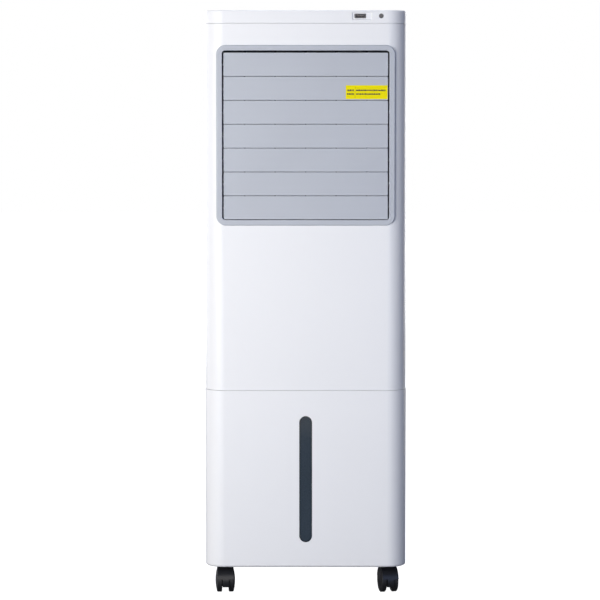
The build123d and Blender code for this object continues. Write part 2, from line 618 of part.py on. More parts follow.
def make_housing_screws():
    """Four identical pan-head screws: two into the deck, two into the top cover."""
    screws = []
    for x in (-SCREW_SPACING / 2, SCREW_SPACING / 2):
        for z in (LOW_SCREW_Z, HIGH_SCREW_Z):
            head = rod_y(3.2, x, REAR_Y, REAR_Y + 1.8, z)
            head = fillet(head.edges().group_by(Axis.Y)[-1], 1.0)
            head -= block(x - 2, x + 2, REAR_Y + 0.9, REAR_Y + 2, z - 0.4, z + 0.4)
            head -= block(x - 0.4, x + 0.4, REAR_Y + 0.9, REAR_Y + 2, z - 2, z + 2)
            screws.append(head + rod_y(SCREW_RADIUS, x, BOSS_FRONT_Y + 3, REAR_Y, z))
    return Compound(children=screws)


def make_power_inlet():
    """Small two-pole inlet with a figure-of-eight cavity."""
    half_w = INLET_WIDTH / 2
    half_h = INLET_HEIGHT / 2
    flange = RectangleRounded(INLET_WIDTH + 6, INLET_HEIGHT + 5, 3)
    at = Pos(INLET_X, INLET_Z)
    inlet = fore_aft(at * flange, REAR_Y, REAR_Y + 1.4)
    inlet += block(INLET_X - half_w, INLET_X + half_w, REAR_Y - 22, REAR_Y, INLET_Z - half_h, INLET_Z + half_h)
    pole_x = 4.3
    cavity = Circle(3.7)
    eight = Pos(-pole_x, 0) * cavity + Pos(pole_x, 0) * cavity + Rectangle(2 * pole_x, 6.6)
    inlet -= fore_aft(at * eight, REAR_Y - 15, REAR_Y + 2)
    for side in (-1, 1):
        inlet += rod_y(1.2, INLET_X + side * pole_x, REAR_Y - 15.5, REAR_Y - 4, INLET_Z)
    return inlet


# ------------------------------------------------------------------ outlet frame and louvres
def louvre_level(index):
    """Pivot height of a louvre, counted from the top."""
    return LOUVRE_TOP_Z - LOUVRE_BLADE / 2 - index * LOUVRE_PITCH


def make_outlet_bezel():
    at = Pos(0, BEZEL_CENTRE_Z)
    flange = fore_aft(at * RectangleRounded(BEZEL_WIDTH, BEZEL_HEIGHT, BEZEL_CORNER), FRONT_Y - BEZEL_PROUD, FRONT_Y)
    flange = fillet(flange.edges().group_by(Axis.Y)[0], BEZEL_PROUD * 0.8)
    opening = at * RectangleRounded(OPENING_WIDTH, OPENING_HEIGHT, OPENING_CORNER)
    rim = at * RectangleRounded(
        2 * RIM_OUTER_X, OPENING_HEIGHT + 2 * BEZEL_WALL, OPENING_CORNER + BEZEL_WALL
    )
    bezel = flange + fore_aft(rim, FRONT_Y, RIM_BACK_Y)
    bezel -= fore_aft(opening, FRONT_Y - BEZEL_PROUD - 1, RIM_BACK_Y + 1)
    mouth = bezel.edges().group_by(Axis.Y)[0]
    inner_mouth = [e for e in mouth if abs(e.center().X) <= OPENING_WIDTH / 2 + 0.1
                   and abs(e.center().Z - BEZEL_CENTRE_Z) <= OPENING_HEIGHT / 2 + 0.1]
    bezel = fillet(inner_mouth, 0.8)
    for i in range(LOUVRE_COUNT):
        bezel -= rod_x(
            PIVOT_RADIUS + RUNNING_GAP, -RIM_OUTER_X - 1, RIM_OUTER_X + 1, LOUVRE_AXIS_Y, louvre_level(i)
        )
    hook = OPENING_HEIGHT / 2 + BEZEL_WALL
    for x in (-90, 0, 90):
        for z0, z1 in ((hook - 0.5, hook + 1.2), (-hook - 1.2, -hook + 0.5)):
            bezel += block(
                x - 8, x + 8, INNER_FRONT_Y + 0.2, INNER_FRONT_Y + 4, BEZEL_CENTRE_Z + z0, BEZEL_CENTRE_Z + z1
            )
    notch_z = BEZEL_HEIGHT / 2
    for x, z in ((0, notch_z), (-80, -notch_z)):
        bezel -= block(
            x - 3, x + 3, FRONT_Y - 1, FRONT_Y + 0.1, BEZEL_CENTRE_Z + z - 1.2, BEZEL_CENTRE_Z + z + 1.2
        )
    return bezel


def lever(x0, x1, pivot_y, z, reach):
    """Flat lever in Y, Z from its pivot to a point behind it."""
    shape = Pos(pivot_y, z) * Circle(3.6) + Pos(pivot_y + reach, z) * Circle(3.2)
    shape += Pos(pivot_y + reach / 2, z) * Rectangle(reach, 6.4)
    return sideways(shape, x0, x1)


def make_louvre(index):
    z = louvre_level(index)
    half = LOUVRE_LENGTH / 2
    back_y = LOUVRE_FACE_Y + LOUVRE_THICKNESS
    face = Pos(0, z) * RectangleRounded(LOUVRE_LENGTH, LOUVRE_BLADE, LOUVRE_CORNER)
    blade = fore_aft(face, LOUVRE_FACE_Y, back_y)
    blade = fillet(blade.edges().group_by(Axis.Y)[0], 0.5)
    blade += block(-half + 3, half - 3, back_y - 0.3, back_y + 4, z - 0.9, z + 0.9)
    arm_face = make_face(Polyline(
        (back_y - 0.3, z - 9), (back_y - 0.3, z + 9), (LOUVRE_AXIS_Y, z + 3.4), (LOUVRE_AXIS_Y, z - 3.4), close=True,
    ))
    arm_face += Pos(LOUVRE_AXIS_Y, z) * Circle(3.4)
    for x0 in (-half + 2, half - 4):
        blade += sideways(arm_face, x0, x0 + 2)
    blade += rod_x(PIVOT_RADIUS, -RIM_OUTER_X, -half + 3, LOUVRE_AXIS_Y, z)
    blade += rod_x(PIVOT_RADIUS, half - 3, LEVER_X + 1, LOUVRE_AXIS_Y, z)
    blade += lever(LEVER_X, LEVER_X + LEVER_THICKNESS, LOUVRE_AXIS_Y, z, CRANK_THROW)
    blade += rod_x(CRANK_PIN_RADIUS, LEVER_X + 1, LINK_X + LINK_THICKNESS, LINK_Y, z)
    return blade


def make_louvre_link():
    """Upright bar that ties the louvre levers together, with an arm back to the drive crank."""
    top = louvre_level(0)
    bottom = louvre_level(LOUVRE_COUNT - 1)
    drive_z = louvre_level(LOUVRE_COUNT // 2)
    drive_pin_y = DRIVE_AXIS_Y + CRANK_THROW
    bar = Pos(LINK_Y, (top + bottom) / 2) * SlotOverall(top - bottom + LINK_WIDTH, LINK_WIDTH, rotation=90)
    arm_length = drive_pin_y - LINK_Y
    bar += Pos((LINK_Y + drive_pin_y) / 2, drive_z) * SlotOverall(arm_length + LINK_WIDTH, LINK_WIDTH)
    link = sideways(bar, LINK_X, LINK_X + LINK_THICKNESS)
    for i in range(LOUVRE_COUNT):
        gap = RUNNING_GAP if i == 0 else 0.15
        link -= rod_x(CRANK_PIN_RADIUS + gap, LINK_X - 1, LINK_X + 3, LINK_Y, louvre_level(i))
    link -= rod_x(CRANK_PIN_RADIUS + 0.15, LINK_X - 1, LINK_X + 3, drive_pin_y, drive_z)
    return link


def make_louvre_crank():
    z = louvre_level(LOUVRE_COUNT // 2)
    pin_y = DRIVE_AXIS_Y + CRANK_THROW
    crank = lever(CRANK_X, CRANK_X + LEVER_THICKNESS, DRIVE_AXIS_Y, z, CRANK_THROW)
    crank += rod_x(CRANK_PIN_RADIUS, LINK_X, CRANK_X + 1, pin_y, z)
    return crank + rod_x(PIVOT_RADIUS, CRANK_X + 1, STEPPER_X + 6, DRIVE_AXIS_Y, z)


def make_louvre_motor():
    z = louvre_level(LOUVRE_COUNT // 2)
    case = rod_x(STEPPER_RADIUS, STEPPER_X, STEPPER_X + STEPPER_LENGTH, DRIVE_AXIS_Y, z)
    ear = block(STEPPER_X, STEPPER_X + 1.5, DRIVE_AXIS_Y, DRIVE_AXIS_Y + 28, z - 5, z + 5)
    return case + ear - rod_x(PIVOT_RADIUS + RUNNING_GAP, STEPPER_X - 1, STEPPER_X + 7, DRIVE_AXIS_Y, z)


# ------------------------------------------------------------------ outlet duct and swing vanes
def vane_positions():
    """Pivot positions along X."""
    return [(i - (VANE_COUNT - 1) / 2) * VANE_PITCH for i in range(VANE_COUNT)]


def duct_profile(inset=0.0):
    """Side outline of the duct in Y, Z, with its upper back corner rounded."""
    front, back = DUCT_FRONT_Y, DUCT_BACK_Y - inset
    low, high = DUCT_BOTTOM + inset, DUCT_TOP - inset
    bend = DUCT_BEND_RADIUS - inset
    mid = bend * (1 - sqrt(0.5))
    lines = Polyline((back, high - bend), (back, low), (front, low), (front, high), (back - bend, high))
    arc = ThreePointArc((back - bend, high), (back - mid, high - mid), (back, high - bend))
    return make_face(lines + arc)


def scroll_outlet_x():
    """Left and right sides of the scroll's outlet, inside its walls."""
    return 10.0, SCROLL_START_RADIUS + 2.5 * SCROLL_STEP


def make_outlet_duct():
    half = DUCT_WIDTH / 2
    duct = sideways(duct_profile(), -half, half)
    duct -= sideways(duct_profile(DUCT_WALL), -DUCT_INNER_X, DUCT_INNER_X)
    duct -= block(
        -DUCT_INNER_X, DUCT_INNER_X, DUCT_FRONT_Y - 1, DUCT_FRONT_Y + 10,
        DUCT_BOTTOM + DUCT_WALL, DUCT_TOP - DUCT_WALL,
    )
    left, right = scroll_outlet_x()
    duct -= block(
        left, right, SCROLL_FRONT_Y + SCROLL_WALL, SCROLL_BACK_Y - SCROLL_WALL,
        DUCT_BOTTOM - 1, DUCT_BOTTOM + DUCT_WALL + 1,
    )
    for x in vane_positions():
        duct -= rod_z(PIVOT_RADIUS + RUNNING_GAP, x, VANE_AXIS_Y, DUCT_BOTTOM - 1, DUCT_TOP + 1)
    motor_x = vane_positions()[-1]
    for side in (-1, 1):
        post_x = motor_x + side * (STEPPER_RADIUS + 4)
        duct += rod_z(3, post_x, VANE_AXIS_Y, VANE_MOTOR_TOP, DUCT_BOTTOM + 1)
    motor_z = louvre_level(LOUVRE_COUNT // 2)
    duct += block(half - 1, STEPPER_X, DRIVE_AXIS_Y + 20, DRIVE_AXIS_Y + 28, motor_z - 6, motor_z + 6)
    return duct


def make_vane(index):
    x = vane_positions()[index]
    low = DUCT_BOTTOM + DUCT_WALL + 2
    high = DUCT_TOP - DUCT_WALL - 2
    blade = Pos(x, VANE_AXIS_Y) * SlotOverall(VANE_CHORD, VANE_THICKNESS, rotation=90)
    vane = upright(blade, low, high)
    vane += rod_z(PIVOT_RADIUS, x, VANE_AXIS_Y, high - 1, DUCT_TOP)
    bottom = VANE_LEVER_TOP - LEVER_THICKNESS
    pin_bottom = VANE_MOTOR_TOP - 8 if index == VANE_COUNT - 1 else bottom
    vane += rod_z(PIVOT_RADIUS, x, VANE_AXIS_Y, pin_bottom, low + 1)
    arm = Pos(x, VANE_AXIS_Y) * Circle(3.6) + Pos(x, VANE_LINK_Y) * Circle(3.2)
    arm += Pos(x, (VANE_AXIS_Y + VANE_LINK_Y) / 2) * Rectangle(6.4, CRANK_THROW)
    vane += upright(arm, bottom, VANE_LEVER_TOP)
    return vane + rod_z(CRANK_PIN_RADIUS, x, VANE_LINK_Y, VANE_PIN_END, bottom + 1)


def make_vane_link():
    places = vane_positions()
    length = places[-1] - places[0] + LINK_WIDTH
    bar = Pos(0, VANE_LINK_Y) * SlotOverall(length, LINK_WIDTH)
    link = upright(bar, VANE_LINK_TOP - LINK_THICKNESS, VANE_LINK_TOP)
    for i, x in enumerate(places):
        gap = RUNNING_GAP if i == 0 else 0.15
        link -= rod_z(CRANK_PIN_RADIUS + gap, x, VANE_LINK_Y, VANE_LINK_TOP - 5, VANE_LINK_TOP + 1)
    return link


def make_vane_motor():
    x = vane_positions()[-1]
    case = rod_z(STEPPER_RADIUS, x, VANE_AXIS_Y, VANE_MOTOR_TOP - STEPPER_LENGTH, VANE_MOTOR_TOP)
    ear_reach = STEPPER_RADIUS + 8
    case += block(x - ear_reach, x + ear_reach, VANE_AXIS_Y - 4, VANE_AXIS_Y + 4, VANE_MOTOR_TOP - 2, VANE_MOTOR_TOP)
    bore = rod_z(PIVOT_RADIUS + RUNNING_GAP, x, VANE_AXIS_Y, VANE_MOTOR_TOP - 9, VANE_MOTOR_TOP + 1)
    return case - bore


# ------------------------------------------------------------------ blower
def scroll_cavity():
    """Inside outline of the blower housing in X, Z: a spiral of three arcs that opens into the outlet."""
    half = SCROLL_STEP / 2
    cz = WHEEL_CENTRE_Z
    r1 = SCROLL_START_RADIUS
    r2 = r1 + SCROLL_STEP
    r3 = r2 + SCROLL_STEP
    c1 = (-half, cz - half)
    c2 = (half, cz - half)
    c3 = (half, cz + half)

    def on(centre, radius, angle):
        return (centre[0] + radius * cos(angle), centre[1] + radius * sin(angle))

    tongue_angle = radians(60)
    tongue = on(c1, r1, tongue_angle)
    left = on(c1, r1, pi)
    bottom = on(c2, r2, 1.5 * pi)
    right = on(c3, r3, 2 * pi)
    outlet_left, outlet_right = scroll_outlet_x()
    outline = ThreePointArc(tongue, on(c1, r1, (tongue_angle + pi) / 2), left)
    outline += ThreePointArc(left, on(c2, r2, 1.25 * pi), bottom)
    outline += ThreePointArc(bottom, on(c3, r3, 1.75 * pi), right)
    outline += Polyline(right, (outlet_right, DUCT_BOTTOM), (outlet_left, DUCT_BOTTOM), tongue)
    return make_face(outline)


def make_blower_scroll():
    cavity = scroll_cavity()
    outer = offset(cavity, SCROLL_WALL, kind=Kind.ARC)
    case = fore_aft(outer, SCROLL_FRONT_Y, SCROLL_BACK_Y)
    reach = SCROLL_START_RADIUS + 3 * SCROLL_STEP
    foot_top = WHEEL_CENTRE_Z - reach / 2
    for x in (-60.0, 70.0):
        case += block(x - 8, x + 8, SCROLL_FRONT_Y, SCROLL_BACK_Y, DECK_TOP, foot_top)
    case -= block(-2 * reach, 2 * reach, SCROLL_FRONT_Y - 1, SCROLL_BACK_Y + 1, DUCT_BOTTOM, DUCT_BOTTOM + 20)
    case -= fore_aft(cavity, SCROLL_FRONT_Y + SCROLL_WALL, SCROLL_BACK_Y - SCROLL_WALL)
    left, right = scroll_outlet_x()
    case -= block(
        left, right, SCROLL_FRONT_Y + SCROLL_WALL, SCROLL_BACK_Y - SCROLL_WALL, DUCT_BOTTOM - 4, DUCT_BOTTOM + 1
    )
    inlet_radius = WHEEL_RADIUS - BLADE_RING_DEPTH + 1
    case += rod_y(inlet_radius + 3, 0, SCROLL_BACK_Y - 5, SCROLL_BACK_Y + 2, WHEEL_CENTRE_Z)
    case -= rod_y(inlet_radius, 0, SCROLL_BACK_Y - 6, SCROLL_BACK_Y + 3, WHEEL_CENTRE_Z)
    return case - rod_y(SHAFT_RADIUS + 12, 0, SCROLL_FRONT_Y - 1, SCROLL_FRONT_Y + 3, WHEEL_CENTRE_Z)


def make_blower_wheel():
    """Squirrel-cage wheel: back plate, hub, shaft, a ring of curved blades and an end ring."""
    inner = WHEEL_RADIUS - BLADE_RING_DEPTH
    at = Pos(0, WHEEL_CENTRE_Z)
    root = (inner + 0.5, 0.0)
    tip_angle = radians(9)
    tip = ((WHEEL_RADIUS - 1) * cos(tip_angle), (WHEEL_RADIUS - 1) * sin(tip_angle))
    bulge = ((root[0] + tip[0]) / 2 + 2.2, (root[1] + tip[1]) / 2 - 1.2)
    spine = ThreePointArc(root, bulge, tip)
    blade = trace(spine, line_width=1.2)
    cage = Sketch()
    for i in range(BLADE_COUNT):
        cage += Rot(0, 0, i * 360 / BLADE_COUNT) * blade
    ring = Circle(WHEEL_RADIUS) - Circle(inner)
    wheel = fore_aft(at * cage, WHEEL_FRONT_Y + 1, WHEEL_BACK_Y - 1)
    wheel += rod_y(WHEEL_RADIUS, 0, WHEEL_FRONT_Y, WHEEL_FRONT_Y + 2, WHEEL_CENTRE_Z)
    wheel += fore_aft(at * ring, WHEEL_BACK_Y - 2, WHEEL_BACK_Y)
    wheel += rod_y(13, 0, WHEEL_FRONT_Y, WHEEL_FRONT_Y + 24, WHEEL_CENTRE_Z)
    return wheel + rod_y(SHAFT_RADIUS, 0, SCROLL_FRONT_Y - 24, WHEEL_FRONT_Y + 26, WHEEL_CENTRE_Z)


def make_fan_motor():
    z = WHEEL_CENTRE_Z
    case = rod_y(MOTOR_RADIUS, 0, MOTOR_FRONT_Y, SCROLL_FRONT_Y, z)
    case = fillet(case.edges().group_by(Axis.Y)[0], 6)
    case += rod_y(16, 0, MOTOR_FRONT_Y - 6, MOTOR_FRONT_Y + 1, z)
    for i in range(3):
        angle = pi / 2 + i * 2 * pi / 3
        x = (MOTOR_RADIUS + 4) * cos(angle)
        case += rod_y(7, x, SCROLL_FRONT_Y - 3, SCROLL_FRONT_Y, z + (MOTOR_RADIUS + 4) * sin(angle))
    return case - rod_y(SHAFT_RADIUS + RUNNING_GAP, 0, SCROLL_FRONT_Y - 26, SCROLL_FRONT_Y + 1, z)


# ------------------------------------------------------------------ rear intake cassette
def make_intake_grille():
    at = Pos(0, INTAKE_CENTRE_Z)
    outer_w = INTAKE_WIDTH - 2 * CASSETTE_GAP
    outer_h = INTAKE_HEIGHT - 2 * CASSETTE_GAP
    inner_w = outer_w - 2 * CASSETTE_WALL
    inner_h = outer_h - 2 * CASSETTE_WALL
    flange_w = INTAKE_WIDTH + 2 * INTAKE_FLANGE
    flange_h = INTAKE_HEIGHT + 2 * INTAKE_FLANGE
    flange = fore_aft(at * RectangleRounded(flange_w, flange_h, 12), REAR_Y, PROUD_REAR_Y)
    flange = fillet(flange.edges().group_by(Axis.Y)[-1], 1.6)
    grille = flange + fore_aft(at * RectangleRounded(outer_w, outer_h, 7.5), CASSETTE_FRONT_Y, REAR_Y)
    opening = at * RectangleRounded(inner_w, inner_h, 5)
    grille -= fore_aft(opening, CASSETTE_FRONT_Y - 1, PROUD_REAR_Y + 1)
    slots = 6
    for cutter in slots_along_x(slots, 40.0, 28.0, 6.0, PAD_CENTRE_Y, INTAKE_BOTTOM, INTAKE_BOTTOM + 4):
        grille -= cutter
    for cutter in slots_along_x(11, 20.0, 8.0, 5.0, PAD_CENTRE_Y, INTAKE_TOP - 4, INTAKE_TOP):
        grille -= cutter

    lean = 5.0
    half = inner_w / 2 + 0.5
    slat_back_y = PROUD_REAR_Y - 1.0
    slat = make_face(Polyline(
        (SLAT_FRONT_Y, 0), (slat_back_y, -lean), (slat_back_y, -lean + SLAT_THICKNESS),
        (SLAT_FRONT_Y, SLAT_THICKNESS), close=True,
    ))
    count = int((inner_h - lean) // SLAT_PITCH)
    first = INTAKE_CENTRE_Z - (count - 1) * SLAT_PITCH / 2 + lean / 2
    slats = [sideways(Pos(0, first + i * SLAT_PITCH) * slat, -half, half) for i in range(count)]
    post_half = inner_h / 2 + 0.5
    posts = [
        block(
            x - 1.5, x + 1.5, SLAT_FRONT_Y, SLAT_FRONT_Y + 4,
            INTAKE_CENTRE_Z - post_half, INTAKE_CENTRE_Z + post_half,
        )
        for x in (-inner_w / 4, 0, inner_w / 4)
    ]
    return grille.fuse(*slats, *posts)


def cassette_insert(y0, y1, gap):
    """Rectangular pad that fills the cassette, with a gap all round."""
    width = INTAKE_WIDTH - 2 * (CASSETTE_GAP + CASSETTE_WALL + gap)
    height = INTAKE_HEIGHT - 2 * (CASSETTE_GAP + CASSETTE_WALL + gap)
    sketch = Pos(0, INTAKE_CENTRE_Z) * RectangleRounded(width, height, 5.5)
    return fore_aft(sketch, y0, y1)


def make_cooling_pad():
    return cassette_insert(PAD_FRONT_Y, PAD_REAR_Y, 0.5)


def make_dust_filter():
    return cassette_insert(FILTER_FRONT_Y, FILTER_FRONT_Y + FILTER_THICKNESS, 0.5)


# ------------------------------------------------------------------ controls
def button_positions():
    """Button centres along X."""
    count = len(BUTTON_NAMES)
    return [(i - (count - 1) / 2) * BUTTON_PITCH for i in range(count)]


def make_control_panel():
    outline = Pos(0, PANEL_CENTRE_Y) * RectangleRounded(PANEL_WIDTH - 0.6, PANEL_DEPTH - 0.6, 5.7)
    panel = upright(outline, PANEL_FLOOR_Z, BODY_HEIGHT)
    seat = Pos(0, DISPLAY_Y) * RectangleRounded(DISPLAY_WIDTH, DISPLAY_DEPTH, 2)
    panel -= upright(seat, BODY_HEIGHT - 1.2, BODY_HEIGHT + 1)
    for x in button_positions():
        panel -= rod_z(BUTTON_RADIUS + 0.3, x, BUTTON_Y, PANEL_FLOOR_Z - 1, BODY_HEIGHT + 1)
    return panel


def make_display_window():
    outline = Pos(0, DISPLAY_Y) * RectangleRounded(DISPLAY_WIDTH - 0.4, DISPLAY_DEPTH - 0.4, 1.8)
    return upright(outline, BODY_HEIGHT - 1.2, BODY_HEIGHT - 0.1)


def make_button(x):
    cap = rod_z(BUTTON_RADIUS, x, BUTTON_Y, PAD_UNDERSIDE_Z - 1, BODY_HEIGHT - 0.2)
    cap = fillet(cap.edges().group_by(Axis.Z)[-1], 0.8)
    cap += rod_z(BUTTON_RADIUS + 1.3, x, BUTTON_Y, PAD_UNDERSIDE_Z - 1.8, PAD_UNDERSIDE_Z - 0.1)
    return cap + rod_z(2, x, BUTTON_Y, PAD_UNDERSIDE_Z - 5.1, PAD_UNDERSIDE_Z - 1.5)


def make_control_board():
    """Circuit board under the panel, with a switch below each button and a few parts on it."""
    half = PANEL_WIDTH / 2 - 1
    y0 = PANEL_CENTRE_Y - 33
    y1 = PANEL_CENTRE_Y + 33
    bottom = BOARD_TOP - BOARD_THICKNESS
    board = block(-half, half, y0, y1, bottom, BOARD_TOP)
    for x in button_positions():
        board += rod_z(2.6, x, BUTTON_Y, BOARD_TOP, PAD_UNDERSIDE_Z - 5.1 - BUTTON_TRAVEL - 0.2)
    board += block(-26, 26, DISPLAY_Y - 9, DISPLAY_Y + 9, BOARD_TOP, BOARD_TOP + 7)
    for x in (-70, 64):
        board += block(x - 7, x + 7, DISPLAY_Y - 6, DISPLAY_Y + 6, BOARD_TOP, BOARD_TOP + 3)
    return board


def make_usb_socket():
    half_w = USB_WIDTH / 2 - 0.4
    half_h = USB_HEIGHT / 2 - 0.3
    front = FRONT_Y + RECESS_DEPTH + 0.2
    shell = block(USB_X - half_w, USB_X + half_w, front, front + 13, BAND_Z - half_h, BAND_Z + half_h)
    shell = fillet(shell.edges().filter_by(Axis.Y), 0.9)
    shell -= block(
        USB_X - half_w + 1.6, USB_X + half_w - 1.6, front - 1, front + 11, BAND_Z - half_h + 0.8, BAND_Z + half_h - 0.8
    )
    return shell + block(USB_X - 5.6, USB_X + 5.6, front + 1.5, front + 11.5, BAND_Z + 0.3, BAND_Z + 2.0)


def make_remote_receiver():
    lens = rod_y(RECEIVER_RADIUS, RECEIVER_X, FRONT_Y - 0.8, INNER_FRONT_Y + 5, BAND_Z)
    lens = fillet(lens.edges().group_by(Axis.Y)[0], 0.7)
    return lens + rod_y(RECEIVER_RADIUS + 1.5, RECEIVER_X, INNER_FRONT_Y + 5.5, INNER_FRONT_Y + 7, BAND_Z) \
        + rod_y(RECEIVER_RADIUS, RECEIVER_X, INNER_FRONT_Y + 4, INNER_FRONT_Y + 6, BAND_Z)


# ------------------------------------------------------------------ casters
def caster_place(corner):
    """Location of a caster's stem axis on the floor, turned to its heading."""
    x, y = caster_positions()[corner]
    return Pos(x, y, 0) * Rot(0, 0, CASTER_HEADINGS[corner])


def make_caster_hood():
    """Caster body in its own frame: stem at the origin, axle ahead of it."""
    axle = (-CASTER_TRAIL, CASTER_WHEEL_RADIUS)
    cover_radius = CASTER_WHEEL_RADIUS + 2.7
    disc = Pos(*axle) * Circle(cover_radius)
    clear_z = 10.6
    side = disc - Pos(axle[0], clear_z - 25) * Rectangle(80, 50)
    hood = sideways(side, -WEB_HALF_WIDTH, WEB_HALF_WIDTH)
    ring = disc - Pos(*axle) * Circle(CASTER_WHEEL_RADIUS + 0.7)
    skirt_z = CASTER_WHEEL_RADIUS + 4
    ring -= Pos(axle[0], skirt_z - 50) * Rectangle(100, 100)
    fender = sideways(ring, -TREAD_OUTER_X + 0.4, TREAD_OUTER_X - 0.4)
    hood += fender
    hood += rod_z(WEB_HALF_WIDTH, 0, 0, 24, HOOD_TOP)
    neck = rod_z(9, 0, 0, CASTER_WHEEL_RADIUS * 2 + 0.9, HOOD_TOP)
    hood += fillet(neck.edges().group_by(Axis.Z)[-1], 1.0)
    hood -= rod_z(STEM_RADIUS + RUNNING_GAP, 0, 0, 28, HOOD_TOP + 1)
    return hood - rod_x(AXLE_RADIUS + RUNNING_GAP, -8, 8, *axle)


def make_caster_wheels():
    """Twin wheels joined by their axle, in the caster's own frame."""
    axle = (-CASTER_TRAIL, CASTER_WHEEL_RADIUS)
    inner_x = WEB_HALF_WIDTH + FIT_GAP
    rise = DOME_OUTER_X - TREAD_OUTER_X
    chord = CASTER_WHEEL_RADIUS - 1
    dome_radius = (chord ** 2 + rise ** 2) / (2 * rise)
    dome_x = DOME_OUTER_X - dome_radius
    half_angle = asin(chord / dome_radius) / 2
    shoulder = (TREAD_OUTER_X, chord)
    crown = (dome_x + dome_radius * cos(half_angle), dome_radius * sin(half_angle))
    outline = Polyline(
        (DOME_OUTER_X, 0), (inner_x, 0), (inner_x, chord), (inner_x + 1, CASTER_WHEEL_RADIUS),
        (TREAD_OUTER_X - 1, CASTER_WHEEL_RADIUS), shoulder,
    )
    outline += ThreePointArc(shoulder, crown, (DOME_OUTER_X, 0))
    wheel = revolve(make_face(outline), Axis.X)
    pair = wheel + mirror(wheel, about=Plane.YZ)
    pair += Rot(0, 90, 0) * Cylinder(AXLE_RADIUS, 2 * inner_x + 2)
    return Pos(0, *axle) * pair


def make_caster_stems():
    """Four steel stems, each pressed into its socket in the tank."""
    stems = []
    for x, y in caster_positions().values():
        stem = rod_z(STEM_RADIUS, x, y, 29, COLLAR_BOTTOM + 0.5)
        stem += rod_z(7, x, y, COLLAR_BOTTOM, TANK_BOTTOM)
        stem += rod_z(SOCKET_RADIUS, x, y, TANK_BOTTOM - 0.5, SOCKET_TOP - 1)
        stems.append(stem)
    return Compound(children=stems)


# ------------------------------------------------------------------ the whole object
def make_parts():
    """Every sub-part, by node name."""
    parts = {
        "tank": make_tank(),
        "tank_window": make_tank_window(),
        "level_float": make_level_float(),
        "drain_plug": make_drain_plug(),
        "filler_door": make_filler_door(),
        "base_deck": make_base_deck(),
        "pump": make_pump(),
        "water_hose": make_water_hose(),
        "water_distributor": make_water_distributor(),
        "front_panel": make_front_panel(),
        "rear_housing": make_rear_housing(),
        "top_cover": make_top_cover(),
        "housing_screws": make_housing_screws(),
        "power_inlet": make_power_inlet(),
        "outlet_bezel": make_outlet_bezel(),
        "louvre_link": make_louvre_link(),
        "louvre_crank": make_louvre_crank(),
        "louvre_motor": make_louvre_motor(),
        "outlet_duct": make_outlet_duct(),
        "vane_link": make_vane_link(),
        "vane_motor": make_vane_motor(),
        "blower_scroll": make_blower_scroll(),
        "blower_wheel": make_blower_wheel(),
        "fan_motor": make_fan_motor(),
        "intake_grille": make_intake_grille(),
        "cooling_pad": make_cooling_pad(),
        "dust_filter": make_dust_filter(),
        "control_panel": make_control_panel(),
        "display_window": make_display_window(),
        "control_board": make_control_board(),
        "usb_socket": make_usb_socket(),
        "remote_receiver": make_remote_receiver(),
        "caster_stems": make_caster_stems(),
    }
    for i in range(LOUVRE_COUNT):
        parts[f"louvre_{i + 1}"] = make_louvre(i)
    for i in range(VANE_COUNT):
        parts[f"vane_{i + 1}"] = make_vane(i)
    for name, x in zip(BUTTON_NAMES, button_positions()):
        parts[f"{name}_button"] = make_button(x)
    for corner in CASTER_HEADINGS:
        parts[f"caster_hood_{corner}"] = caster_place(corner) * make_caster_hood()
        parts[f"caster_wheels_{corner}"] = caster_place(corner) * make_caster_wheels()
    return parts


def main():
    os.makedirs("parts", exist_ok=True)
    for name, shape in make_parts().items():
        export_step(shape, f"parts/{name}.step")
    points, bends = hose_path()
    print("hose bend radii", bends, "over", len(points), "points")


if __name__ == "__main__":
    main()
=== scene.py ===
"""Looks, fine detail and studio for a tower evaporative cooler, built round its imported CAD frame."""
import logging
import math
import random
from collections.abc import Iterable, Sequence
from dataclasses import dataclass, field
from enum import Enum

import bmesh
import bpy
from mathutils import Matrix, Vector


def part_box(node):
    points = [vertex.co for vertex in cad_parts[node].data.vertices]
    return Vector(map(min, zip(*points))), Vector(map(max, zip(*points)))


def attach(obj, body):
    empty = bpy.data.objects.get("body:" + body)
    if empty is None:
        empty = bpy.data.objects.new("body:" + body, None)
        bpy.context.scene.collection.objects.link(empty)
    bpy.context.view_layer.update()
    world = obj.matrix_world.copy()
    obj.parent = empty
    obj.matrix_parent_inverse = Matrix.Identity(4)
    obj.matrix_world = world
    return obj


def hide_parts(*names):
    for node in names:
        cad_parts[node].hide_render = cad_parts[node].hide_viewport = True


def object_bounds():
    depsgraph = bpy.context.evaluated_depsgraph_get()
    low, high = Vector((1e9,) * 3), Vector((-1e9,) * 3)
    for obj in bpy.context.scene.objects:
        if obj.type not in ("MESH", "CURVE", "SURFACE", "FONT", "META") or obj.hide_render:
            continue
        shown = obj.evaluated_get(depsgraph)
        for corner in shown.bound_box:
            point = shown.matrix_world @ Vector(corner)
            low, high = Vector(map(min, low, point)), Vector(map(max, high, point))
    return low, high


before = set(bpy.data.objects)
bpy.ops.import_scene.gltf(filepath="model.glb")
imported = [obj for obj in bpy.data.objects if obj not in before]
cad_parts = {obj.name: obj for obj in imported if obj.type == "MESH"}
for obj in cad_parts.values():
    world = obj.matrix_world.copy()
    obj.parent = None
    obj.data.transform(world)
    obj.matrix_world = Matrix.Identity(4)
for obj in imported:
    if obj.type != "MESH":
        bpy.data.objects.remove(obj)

log = logging.getLogger("tower_cooler")

Colour = tuple[float, float, float]
MM = 0.001
CAD_BOX = [list(corner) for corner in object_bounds()]


